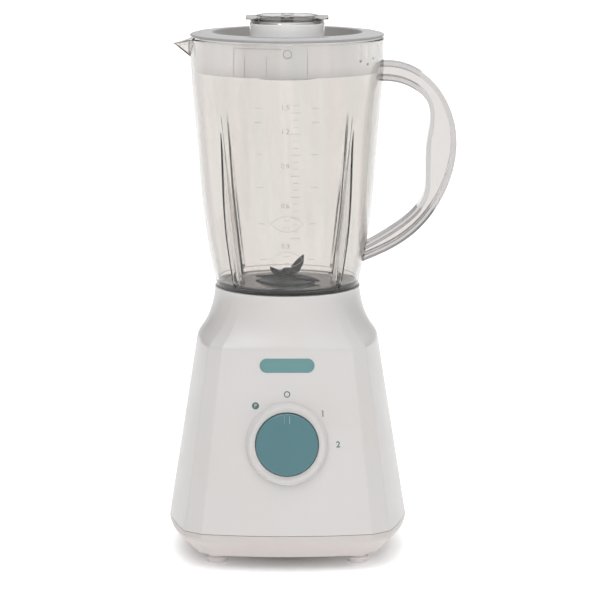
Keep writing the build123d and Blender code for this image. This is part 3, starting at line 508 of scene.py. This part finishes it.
def jug_outer(angle, z):
    """Radius of the jug's outside in this direction, flutes and spout included."""
    radius = jug_radius(z)
    radius -= flute_bell(angle, z, radius, *FLUTE_OUTSIDE)
    spout = spout_radius(angle, z, 0.0)
    return soft_max(radius, spout, 1.6) if spout > radius - 4.0 else radius


def jug_inner(angle, z):
    """Radius of the jug's inside in this direction, flutes and spout included."""
    radius = jug_radius(z) - JUG_WALL
    radius -= flute_bell(angle, z, radius, *FLUTE_INSIDE)
    spout = spout_radius(angle, z, 1.9)
    return soft_max(radius, spout, 1.2) if spout > radius - 4.0 else radius


def rim_height(angle):
    """Height of the rim, which slopes down along the spout."""
    z = JUG_RIM
    for _ in range(4):
        x = -jug_outer(angle, z) * math.cos(angle)
        z = JUG_RIM - max(0.0, x - SPOUT_START) * SPOUT_DROP
    return z


def jug_angles():
    """Column directions: close together across each flute and the spout, wider between."""
    degrees = set()
    for corner in (45, 135, 225, 315):
        degrees.update(round(corner + 0.36 * k, 3) for k in range(-16, 17))
        degrees.update(round(corner + 6.5 + 2.2 * k, 3) for k in range(0, 35))
    degrees.update(round(180 + 0.8 * k, 3) for k in range(-25, 26))
    return [math.radians(d) for d in sorted(d % 360 for d in degrees)]


def jug_heights():
    """Row heights of the jug's wall: close together low down and in the spout's zone."""
    low = [JUG_FOOT_Z + 2.2 * k for k in range(8)]
    middle = [219.5 + (SPOUT_ZONE_Z - 219.5) * k / 34 for k in range(35)]
    return low + middle + [SPOUT_ZONE_Z + (JUG_RIM - SPOUT_ZONE_Z) * k / 14 for k in range(1, 15)]


def quarter_round(centre_r, centre_z, radius, degrees):
    """Profile points round a corner at the given angles."""
    return [(centre_r + radius * math.cos(math.radians(d)), centre_z + radius * math.sin(math.radians(d)))
            for d in degrees]


def jug_column(angle, heights):
    """Section of the jug in one direction as (radius, height), up the outside and down the inside."""
    top = rim_height(angle)
    share = (top - SPOUT_ZONE_Z) / (JUG_RIM - SPOUT_ZONE_Z)
    levels = [z if z <= SPOUT_ZONE_Z else SPOUT_ZONE_Z + (z - SPOUT_ZONE_Z) * share for z in heights]
    low_r = jug_outer(angle, JUG_FOOT_Z)
    column = quarter_round(low_r - JUG_FOOT_R, JUG_FOOT_Z, JUG_FOOT_R, (-90, -60, -30))
    column += [(jug_outer(angle, z), z) for z in levels[:-1]]
    rim_out, rim_in = jug_outer(angle, top), jug_inner(angle, top)
    column += [(rim_out - 0.05, top - 0.5), (rim_out - 0.25, top - 0.12), (rim_out - 0.6, top),
               (rim_in + 0.6, top), (rim_in + 0.2, top - 0.15), (rim_in, top - 0.6)]
    column += [(jug_inner(angle, z), z) for z in reversed(levels[2:-1])]
    edge = jug_inner(angle, JUG_CORNER_Z) - JUG_CORNER_R
    column += quarter_round(edge, JUG_CORNER_Z, JUG_CORNER_R, (0, -15, -30, -45, -60, -75, -90))
    hole = BLADE_HOLE_R + 0.4
    column += [(hole + (edge - hole) * part, JUG_FLOOR) for part in (0.92, 0.75, 0.5, 0.25, 0.0)]
    column += [(BLADE_HOLE_R, JUG_FLOOR - 0.4), (BLADE_HOLE_R, JUG_LOW + 0.4), (hole, JUG_LOW)]
    return column + jug_foot_ring()


def jug_foot_ring():
    """Section of the ring under the jug that drops into the base's well."""
    inner, outer, low = 46.9, 49.9, 182.0
    under = [(r, JUG_LOW) for r in (25.0, 36.0, inner - 0.7)]
    inside = [(inner, JUG_LOW - 0.7), (inner, 191.0), (inner, low + 0.6), (inner + 0.6, low)]
    outside = [(outer - 0.6, low), (outer, low + 0.6), (outer, 191.0), (outer, JUG_LOW - 0.15)]
    return under + inside + outside + [(outer + 0.2, JUG_LOW)]


def make_jug():
    angles, heights = jug_angles(), jug_heights()
    columns = []
    for angle in angles:
        columns.append([(r * math.cos(angle), r * math.sin(angle), z) for r, z in jug_column(angle, heights)])
    rows = len(columns[0])
    verts = [columns[j][i] for i in range(rows) for j in range(len(angles))]
    jug = piece("jug_shell", verts, ring_faces(rows, len(angles), True), "jug",
                MATERIALS["clear_plastic"], 55.0)
    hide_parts("jug")


# ---------------------------------------------------------------- handle
HANDLE_OUTER = [(64.0, 366.8), (83.0, 365.8), (98.0, 359.6), (112.6, 345.6), (121.7, 327.0), (124.75, 308.0),
                (120.9, 282.2), (110.5, 259.6), (95.0, 240.9), (76.5, 228.1), (54.0, 218.2)]
HANDLE_INNER = [(64.0, 353.0), (83.0, 351.4), (94.2, 346.3), (102.8, 337.6), (105.3, 327.0), (103.0, 308.3),
                (102.2, 284.0), (101.3, 270.5), (95.2, 258.2), (84.0, 247.9), (69.0, 237.9), (54.0, 229.4)]
HANDLE_GAP = 0.05               # bond line to the jug
END_QUADS = ((0, 1, 10, 11), (4, 5, 6, 7), (1, 2, 9, 10), (2, 3, 8, 9), (3, 4, 7, 8))


def even_curve(points, count):
    """Evenly spaced points of a smooth curve through (x, z) points."""
    steps = [0.0]
    for p, q in zip(points, points[1:]):
        steps.append(steps[-1] + math.hypot(q[0] - p[0], q[1] - p[1]))
    x_of = smooth_curve([(s, p[0]) for s, p in zip(steps, points)])
    z_of = smooth_curve([(s, p[1]) for s, p in zip(steps, points)])
    stations = [steps[-1] * i / (count - 1) for i in range(count)]
    return [(x_of(station), z_of(station)) for station in stations]


def on_wall(x, y, z):
    """Whether a point lies on or inside the jug's round wall."""
    return x <= math.sqrt((jug_radius(z) + HANDLE_GAP + 0.01) ** 2 - y ** 2) + 1e-3


def make_handle():
    """I-section loop whose ends follow the jug's round wall."""
    count, half, web, flange = 110, 9.5, 1.7, 3.6
    outer, inner = even_curve(HANDLE_OUTER, count), even_curve(HANDLE_INNER, count)
    # Offsets from zero up count from the loop's inner edge, and negative ones from its outer edge.
    section = [(0, -half), (flange, -half), (flange, -web), (-flange, -web), (-flange, -half),
               (-0.0001, -half), (-0.0001, half), (-flange, half), (-flange, web), (flange, web),
               (flange, half), (0, half)]
    rows = []
    for (ox, oz), (ix, iz) in zip(outer, inner):
        span = math.hypot(ox - ix, oz - iz)
        ux, uz = (ox - ix) / span, (oz - iz) / span
        row = []
        for u, y in section:
            along = u if u >= 0 else span + u
            x, z = ix + ux * along, iz + uz * along
            wall = math.sqrt((jug_radius(min(z, JUG_RIM)) + HANDLE_GAP) ** 2 - y * y)
            row.append((max(x, wall), y, z))
        rows.append(row)
    while all(on_wall(*v) for v in rows[1]):
        rows.pop(0)
    while all(on_wall(*v) for v in rows[-2]):
        rows.pop()
    size = len(section)
    faces = ring_faces(len(rows), size, False)
    last = (len(rows) - 1) * size
    for base in (0, last):
        faces += [tuple(base + k for k in quad) for quad in END_QUADS]
    handle = piece("handle_loop", [v for row in rows for v in row], faces, "jug",
                   MATERIALS["clear_handle"], 30.0)
    bevel(handle, 0.9, 3, 50.0)
    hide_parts("jug_handle")


# ---------------------------------------------------------------- printed and moulded marks
def text_mesh(text, size, thickness, bold=0.0):
    """Mesh of a short text, centred, in millimetres, as (verts, faces)."""
    data = bpy.data.curves.new("mark", "FONT")
    data.body = text
    data.size = size
    data.align_x, data.align_y = "CENTER", "CENTER"
    data.extrude = thickness / 2
    data.offset = bold
    data.resolution_u = 6
    helper = bpy.data.objects.new("mark", data)
    mesh = bpy.data.meshes.new_from_object(helper)
    verts = [tuple(v.co) for v in mesh.vertices]
    faces = [tuple(p.vertices) for p in mesh.polygons]
    bpy.data.objects.remove(helper)
    bpy.data.curves.remove(data)
    bpy.data.meshes.remove(mesh)
    return verts, faces


def ring_mesh(inner, outer, thickness, steps=48):
    """Flat ring or disc, in millimetres."""
    verts, low, high = [], -thickness / 2, thickness / 2
    for r, z in ((outer, low), (outer, high), (inner, high), (inner, low)):
        verts += [(*on_circle(r, k, steps), z) for k in range(steps)]
    return verts, ring_faces(4, steps, True)


def bar_mesh(width, height, thickness):
    """Small flat bar, centred, in millimetres, cut into short lengths so it can follow a curve."""
    verts, faces, steps = [], [], max(2, int(width / 1.5) + 1)
    for i in range(steps):
        x = -width / 2 + width * i / (steps - 1)
        verts += [(x, -height / 2, -thickness / 2), (x, height / 2, -thickness / 2),
                  (x, height / 2, thickness / 2), (x, -height / 2, thickness / 2)]
    for i in range(steps - 1):
        for k in range(4):
            m = (k + 1) % 4
            faces.append((4 * i + k, 4 * i + m, 4 * i + 4 + m, 4 * i + 4 + k))
    faces += [(0, 1, 2, 3), tuple(4 * (steps - 1) + k for k in (3, 2, 1, 0))]
    return verts, faces


def collect(parts):
    """Joins (verts, faces) lists, each moved by its own function."""
    verts, faces = [], []
    for (points, polygons), place in parts:
        base = len(verts)
        verts += [place(*p) for p in points]
        faces += [tuple(base + i for i in f) for f in polygons]
    return verts, faces


WAIST_Z, WAIST_Y, SHOULDER_Z, SHOULDER_Y = 24.5, 86.5, 162.0, 63.2
LEAN = math.atan((WAIST_Y - SHOULDER_Y) / (SHOULDER_Z - WAIST_Z))
WALL_UP = Vector((0, math.sin(LEAN), math.cos(LEAN)))
WALL_OUT = Vector((0, -math.cos(LEAN), math.sin(LEAN)))
STAND_OFF = 12.0                # how far outside the wall a ray towards it starts


def wall_y(height):
    """Where the leaning front plane stands at this height, before its crown."""
    return -(WAIST_Y - (height - WAIST_Z) * math.tan(LEAN))


def front_wall():
    """Surface finder for the casing's leaning front wall, from the CAD mesh."""
    return BVHTree.FromPolygons([v.co.copy() for v in NODES["housing"].data.vertices],
                                [tuple(p.vertices) for p in NODES["housing"].data.polygons])


def on_front(tree, centre_x, centre_z, lift=0.0):
    """Function that lays a flat mark, drawn in XY, on the front wall around (x, z)."""
    def place(u, v, w):
        height = centre_z + v * WALL_UP.z
        start = (Vector((centre_x + u, wall_y(height), height)) + WALL_OUT * STAND_OFF) * MM
        hit = tree.ray_cast(start, -WALL_OUT)[0]
        return tuple(hit / MM + WALL_OUT * (w + lift))
    return place


DIAL_Z = 93.9
PRINT_T = 0.05


def dial_place(tree, degrees, radius, lift=0.03):
    """Where a setting mark stands, by its angle from the top of the dial and its distance from the middle."""
    angle = math.radians(degrees)
    height = DIAL_Z + radius * math.cos(angle) * math.cos(LEAN)
    return on_front(tree, radius * math.sin(angle), height, lift)


def make_dial_marks():
    """Settings round the knob, pulse disc, off, 1 and 2, as a thin print on the wall."""
    tree = front_wall()
    parts = [(ring_mesh(1.6, 2.35, PRINT_T), dial_place(tree, 0.0, 37.4)),
             (bar_mesh(0.72, 4.2, PRINT_T), dial_place(tree, 48.3, 34.9)),
             (bar_mesh(1.0, 0.55, PRINT_T), dial_place(tree, 45.2, 36.0)),
             (text_mesh("2", 6.2, PRINT_T, 0.12), dial_place(tree, 89.0, 37.2)),
             (ring_mesh(0.02, 2.6, PRINT_T), dial_place(tree, -38.3, 37.0))]
    verts, faces = collect(parts)
    piece("dial_print", verts, faces, "base", MATERIALS["print_ink"])
    verts, faces = collect([(text_mesh("P", 3.7, PRINT_T), dial_place(tree, -38.3, 37.0, 0.09))])
    piece("pulse_letter", verts, faces, "base", MATERIALS["white_plastic"])


def pill_rows(length, width, rows, steps=14):
    """Grid rings of a pill outline, each row (inset, height) further in."""
    verts = []
    for inset, height in rows:
        radius, straight = width / 2 - inset, (length - width) / 2
        for side in (1, -1):
            for k in range(steps):
                angle = math.radians(-90.0 + 180.0 * k / (steps - 1))
                along, across = straight + radius * math.cos(angle), radius * math.sin(angle)
                verts.append((side * along, side * across, height))
    return verts, 2 * steps


BADGE_Z, BADGE_LENGTH, BADGE_WIDTH = 151.3, 40.0, 10.4
BADGE_ROWS = [(0.0, -0.05), (0.0, 0.18), (0.1, 0.29), (0.3, 0.34), (1.5, 0.35), (3.5, 0.35), (5.1, 0.35)]
CROWN_AT = 21.5                 # half width over which the badge follows the wall's crown


def make_badge():
    """Plain pill-shaped badge with a softly rounded edge, following the wall."""
    tree = front_wall()
    verts, columns = pill_rows(BADGE_LENGTH, BADGE_WIDTH, BADGE_ROWS)
    faces = ring_faces(len(BADGE_ROWS), columns, False)
    last = (len(BADGE_ROWS) - 1) * columns
    faces += [(last + k, last + k + 1, last + columns - 2 - k, last + columns - 1 - k)
              for k in range(columns // 2 - 1)]
    centre = Vector((0, wall_y(BADGE_Z), BADGE_Z))

    def rise(point):
        start = point + WALL_OUT * STAND_OFF
        return STAND_OFF - (tree.ray_cast(start * MM, -WALL_OUT)[0] / MM - start).length
    edge_rise = rise(centre + Vector((CROWN_AT, 0, 0)))
    middle_rise = rise(centre + WALL_UP * 7.0)
    crown = []
    for u, v, w in verts:
        share = abs(u) / CROWN_AT
        lift = middle_rise + (edge_rise - middle_rise) * share * share
        crown.append(tuple(centre + Vector((u, 0, 0)) + WALL_UP * v + WALL_OUT * (w + lift)))
    badge = piece("badge_pill", crown, faces, "base", MATERIALS["teal_badge"], 50.0)
    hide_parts("badge_plate")


def on_jug(centre_z, turn=0.0, lift=0.0):
    """Function that lays a flat mark, drawn in XY, on the jug's outside at the front."""
    def place(u, v, w):
        z = centre_z + v
        radius = jug_radius(z) + w + lift
        angle = math.radians(-90.0 + turn) + u / radius
        return (radius * math.cos(angle), radius * math.sin(angle), z)
    return place


def lens_outline(width, height, line, thin):
    """Thin lens-shaped outline, pointed left and right."""
    verts, steps = [], 24
    for side in (-1, 1):
        for i in range(steps):
            x = -width / 2 + width * i / (steps - 1)
            y = side * height / 2 * (1 - (2 * x / width) ** 2)
            corners = ((-line, -thin), (line, -thin), (line, thin), (-line, thin))
            verts += [(x, y + across / 2, up / 2) for across, up in corners]
    faces = []
    for side in range(2):
        for i in range(steps - 1):
            base = (side * steps + i) * 4
            for k in range(4):
                m = (k + 1) % 4
                faces.append((base + k, base + m, base + 4 + m, base + 4 + k))
        first, last = side * steps * 4, (side * steps + steps - 1) * 4
        faces += [(first, first + 1, first + 2, first + 3), (last + 3, last + 2, last + 1, last)]
    return verts, faces


def make_graduations():
    """Faint moulded scale on the front of the jug: ticks, litre figures and two lens-shaped portion marks."""
    thin = 0.16
    parts = []
    for z in (228.0, 254.6):
        parts.append((lens_outline(23.5, 11.6, 0.28, thin), on_jug(z)))
        parts += [(bar_mesh(5.0, 0.32, thin), on_jug(z, side * 17.0)) for side in (-1, 1)]
        parts += [(bar_mesh(5.0, 0.3, thin), on_jug(z + dy)) for dy in (-2.6, 2.6)]
    for z, text in ((238.0, "0.3"), (268.0, "0.6"), (297.0, "0.9"), (322.0, "1.2"), (339.5, "1.5")):
        parts.append((text_mesh(text, 5.0, thin), on_jug(z, -1.0)))
    for k in range(20):
        z = 244.0 + 5.1 * k
        parts.append((bar_mesh(7.0 if k % 3 == 0 else 4.0, 0.3, thin), on_jug(z, 5.5)))
    for z in (281.3, 305.5, 328.4, 338.8):
        parts += [(bar_mesh(5.5, 0.3, thin), on_jug(z, side * 17.5)) for side in (-1, 1)]
    verts, faces = collect(parts)
    piece("jug_scale", verts, faces, "jug", MATERIALS["scale_relief"])


# ---------------------------------------------------------------- lid
LID_SKIRT_R = 67.8
SLOT_TOP_Z, SLOT_WIDTH = 384.0, 3.2
STRAINER = [(4.9, 17.0), (11.8, 13.5), (18.7, 5.0), (25.6, 13.5), (32.5, 17.0), (39.6, 14.5)]


def lathe(profile, steps):
    """Closed solid of revolution of (radius, height) points that go once round the section."""
    verts = [(*on_circle(r, k, steps), z) for r, z in profile for k in range(steps)]
    return verts, ring_faces(len(profile), steps, True)


def lid_profile():
    """Section of the lid: filler collar, recess floor and slope, rounded flange, and the skirt."""
    points = [(25.6, 368.2), (25.6, 394.3)] + arc(26.1, 394.3, 0.5, 180, 90, 3)
    points += arc(27.1, 394.3, 0.5, 90, 0, 3) + [(27.6, 373.6)]
    points += arc(29.2, 373.6, 1.6, 180, 270, 5)[1:] + [(43.6, 372.0)]
    points += arc(43.6, 374.0, 2.0, 270, 327, 4)[1:]
    points += [(55.0, 387.7), (55.5, 388.3), (56.2, 388.6), (57.2, 388.7), (66.0, 388.3), (70.2, 387.2)]
    points += arc(70.4, 386.2, 1.0, 90, -20, 6) + [(70.9, 385.5), (70.4, 385.3), (68.1, 385.2)]
    points += [(67.8, 384.9), (67.8, 380.0), (67.7, 370.0), (67.6, 360.4), (67.3, 360.05), (66.9, 360.0)]
    points += [(65.9, 360.1), (65.7, 360.5), (65.8, 384.4), (65.0, 385.1), (56.7, 385.1), (46.4, 370.4)]
    return points + [(45.4, 369.8), (28.4, 369.8), (27.6, 369.3), (27.6, 368.2)]


def strainer_cutter():
    """Slots through the skirt on the handle side, as one cutting mesh."""
    verts, faces = [], []
    for angle, length in STRAINER:
        for sign in (-1, 1):
            spin = math.radians(sign * angle)
            middle = SLOT_TOP_Z - length / 2
            points, columns = pill_rows(length, SLOT_WIDTH, [(0.0, -5.0), (0.0, 5.0)])
            base = len(verts)
            verts += [(*spun(LID_SKIRT_R + w, v, spin), middle + u) for u, v, w in points]
            faces += [tuple(base + i for i in face) for face in ring_faces(2, columns, False)]
            faces.append(tuple(base + k for k in reversed(range(columns))))
            faces.append(tuple(base + columns + k for k in range(columns)))
    return verts, faces


def plain_object(name, verts, faces):
    """Short-lived object for a boolean cut, riding on nothing."""
    mesh = bpy.data.meshes.new(name)
    mesh.from_pydata([tuple(c * MM for c in v) for v in verts], [], faces)
    face_outward(mesh)
    return linked(name, mesh)


def cut_mesh(verts, faces, cutter_verts, cutter_faces):
    """Result of cutting one closed mesh with another, as (verts, faces) in millimetres."""
    body = plain_object("uncut", verts, faces)
    cutter = plain_object("cutter", cutter_verts, cutter_faces)
    modifier = body.modifiers.new("cut", "BOOLEAN")
    modifier.operation, modifier.solver, modifier.object = "DIFFERENCE", "EXACT", cutter
    bpy.context.view_layer.update()
    evaluated = body.evaluated_get(bpy.context.evaluated_depsgraph_get())
    result = bpy.data.meshes.new_from_object(evaluated)
    points = [tuple(v.co / MM) for v in result.vertices]
    polygons = [tuple(p.vertices) for p in result.polygons]
    for obj in (body, cutter):
        mesh = obj.data
        bpy.data.objects.remove(obj)
        bpy.data.meshes.remove(mesh)
    bpy.data.meshes.remove(result)
    return points, polygons


def make_lid():
    verts, faces = cut_mesh(*lathe(lid_profile(), 240), *strainer_cutter())
    lid = piece("lid_shell", verts, faces, "lid", MATERIALS["lid_plastic"], 32.0)
    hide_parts("lid")


def on_skirt(z, degrees):
    """Function that lays a flat mark on the lid's skirt, degrees round from the front."""
    def place(u, v, w):
        angle = math.radians(-90.0 + degrees) + u / LID_SKIRT_R
        radius = LID_SKIRT_R + 0.04 + w
        return (radius * math.cos(angle), radius * math.sin(angle), z + v)
    return place


LID_MARK_T = 0.12


def make_lid_marks():
    """Closing mark moulded on the skirt: a small ring with a leader line, and four faint guide lines."""
    parts = [(ring_mesh(2.7, 3.2, LID_MARK_T), on_skirt(377.4, 0.4)),
             (bar_mesh(36.5, 0.3, LID_MARK_T), on_skirt(381.0, -18.0))]
    for width, length, z, degrees in ((0.26, 20.0, 371.0, -33.3), (0.24, 14.0, 367.8, -26.0),
                                      (0.24, 15.0, 368.2, -12.2), (0.24, 20.0, 371.0, 12.4)):
        parts.append((bar_mesh(width, length, LID_MARK_T), on_skirt(z, degrees)))
    verts, faces = collect(parts)
    piece("lid_marks", verts, faces, "lid", MATERIALS["lid_marks"])


# ---------------------------------------------------------------- blades
BLADE_Z, BLADE_T = 206.4, 1.2
WING_ROOT, WING_BEND, HUB_R, HUB_HOLE_R = 8.0, 9.0, 9.4, 3.0
# Name, node, turn, reach, rise, level, width and teeth of each cutter.
CUTTERS = (("cutter_upper", "upper_blade", 64.0, 30.5, 9.8, 1, 8.0, 7),
           ("cutter_lower", "lower_blade", 154.0, 26.0, -2.4, 0, 10.0, 0))


def wing_outline(reach, width, teeth):
    """Leaf-shaped wing seen from above, along +X: a curved cutting edge with teeth and a straighter back."""
    steps = 26
    cutting, back = [], []
    for i in range(steps + 1):
        share = i / steps
        x = WING_ROOT + (reach - WING_ROOT) * share
        belly = width / 2 * (1 - share ** 2.6) + 0.9 * math.sin(math.pi * share)
        notch = 0.55 * abs(math.sin(math.pi * teeth * share)) if teeth and 0.25 < share < 0.92 else 0.0
        cutting.append((x, -belly + notch + 1.0 * share))
        back.append((x, width / 2 * (1 - share ** 3.2) + 1.0 * share))
    return cutting, back


def blade_mesh(turn, reach, rise, root_z, width, teeth):
    """Two-winged cross blade of sheet steel with ground cutting edges, bent up or down from its hub."""
    verts, faces = [], []
    slope = rise / (reach - WING_BEND)
    for end in (0.0, 180.0):
        cutting, back = wing_outline(reach, width, teeth)
        spin = math.radians(turn + end)
        base = len(verts)
        for (x, low), (_, high) in zip(cutting, back):
            level = root_z + max(0.0, x - WING_BEND) * slope
            grind = min(3.0, (high - low) * 0.45)
            section = ((low, 0.12), (low + grind, BLADE_T), (high - 0.15, BLADE_T), (high, BLADE_T - 0.2),
                       (high, 0.0), (low, 0.0))
            verts += [(*spun(x, y, spin), level + z) for y, z in section]
        for i in range(len(cutting) - 1):
            for k in range(6):
                m = (k + 1) % 6
                faces.append((base + 6 * i + k, base + 6 * i + m, base + 6 * i + 6 + m, base + 6 * i + 6 + k))
        tip = base + 6 * (len(cutting) - 1)
        faces += [tuple(base + k for k in (5, 4, 3, 2, 1, 0)), tuple(tip + k for k in range(6))]
    base, steps = len(verts), 40
    for r, z in ((HUB_R, 0.0), (HUB_R, BLADE_T), (HUB_HOLE_R, BLADE_T), (HUB_HOLE_R, 0.0)):
        for k in range(steps):
            x, y = on_circle(r, k, steps)
            y = max(-width / 2, min(width / 2, y))
            verts.append((*spun(x, y, math.radians(turn)), root_z + z))
    faces += [tuple(base + i for i in face) for face in ring_faces(4, steps, True)]
    return verts, faces


def make_blades():
    for name, node, turn, reach, rise, level, width, teeth in CUTTERS:
        verts, faces = blade_mesh(turn, reach, rise, BLADE_Z + BLADE_T * level, width, teeth)
        cutter = piece(name, verts, faces, "blades", MATERIALS["blade_steel"], 25.0)
        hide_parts(node)


KNOB_Z = 95.2
POINTER_AT, POINTER_LIFT = 17.7, 8.5    # up the knob's face from its middle, and out from the wall's plane


def make_knob_pointer():
    """Two fine lighter lines let into the knob's face at its pointing side: the edges of a pointer notch,
    with the light they catch painted in as a lighter colour.
    """
    centre = Vector((0, wall_y(KNOB_Z), KNOB_Z))
    parts = []
    for x, width in ((-1.9, 0.22), (1.9, 0.42)):
        def place(u, v, w, x=x):
            on_face = centre + Vector((x + v, 0, 0)) + WALL_UP * (POINTER_AT + u)
            return tuple(on_face + WALL_OUT * (POINTER_LIFT + w))
        parts.append((bar_mesh(6.2, width, 0.16), place))
    verts, faces = collect(parts)
    piece("knob_pointer", verts, faces, "knob", MATERIALS["pointer_notch_highlight"])


# ---------------------------------------------------------------- stage
def make_floor():
    mesh = bpy.data.meshes.new("floor")
    rim = 40.0
    mesh.from_pydata([(-rim, -rim, 0), (rim, -rim, 0), (rim, rim, 0), (-rim, rim, 0)], [], [(0, 1, 2, 3)])
    floor = linked("floor", mesh)
    dress(floor, stage_floor())


CEILING_LIGHT, WALL_LIGHT, SUN_LIGHT = 1.6, 0.62, 0.95
RIGHT_LIGHT, LEFT_SHADE, DARKEST_WALL = -0.6, 1.3, 0.02
SUN_FALL, SUN_SPREAD = (0.2, 0.55, -1.0), 40.0
CAMERA_PLACE, CAMERA_TILT, CAMERA_LENS = (0.0094, -1.876, 0.5309), 79.64, 152.88


def make_world():
    """Soft studio room: bright ceiling, pale front and back walls, and darker walls left and right."""
    world = bpy.data.worlds.new("studio")
    bpy.context.scene.world = world
    world.use_nodes = True
    tree = world.node_tree
    coords = tree.nodes.new("ShaderNodeTexCoord")
    split = tree.nodes.new("ShaderNodeSeparateXYZ")
    link(tree, coords.outputs["Generated"], split.inputs["Vector"])
    depth = math_node(tree, "MULTIPLY", split.outputs["Y"], split.outputs["Y"])
    walls = math_node(tree, "MULTIPLY", depth, WALL_LIGHT)
    right = math_node(tree, "MULTIPLY", math_node(tree, "MAXIMUM", split.outputs["X"], 0.0), RIGHT_LIGHT)
    left = math_node(tree, "MULTIPLY", math_node(tree, "MINIMUM", split.outputs["X"], 0.0), LEFT_SHADE)
    ceiling = math_node(tree, "MULTIPLY", math_node(tree, "MAXIMUM", split.outputs["Z"], 0.0), CEILING_LIGHT)
    side = math_node(tree, "ADD", right, left)
    light = math_node(tree, "ADD", math_node(tree, "ADD", walls, side), ceiling)
    light = math_node(tree, "MAXIMUM", light, DARKEST_WALL)
    background = tree.nodes["Background"]
    link(tree, light, background.inputs["Color"])
    background.inputs["Strength"].default_value = 1.0


def sun(name, direction, strength, angle):
    data = bpy.data.lights.new(name, "SUN")
    data.energy = strength
    data.angle = math.radians(angle)
    lamp = linked(name, data)
    lamp.rotation_euler = Vector(direction).to_track_quat("-Z", "Y").to_euler()


def make_camera():
    data = bpy.data.cameras.new("camera")
    data.lens, data.sensor_width = CAMERA_LENS, 36.0
    data.clip_start, data.clip_end = 0.05, 200.0
    camera = linked("camera", data)
    camera.location = CAMERA_PLACE
    camera.rotation_euler = (math.radians(CAMERA_TILT), 0, 0)
    bpy.context.scene.camera = camera


make_camera()
make_floor()
make_world()
sun("key", SUN_FALL, SUN_LIGHT, SUN_SPREAD)
bpy.context.scene.view_settings.view_transform = "Standard"
dress_cad_nodes()
make_jug()
make_handle()
make_dial_marks()
make_badge()
make_lid()
make_lid_marks()
make_graduations()
make_blades()
make_knob_pointer()
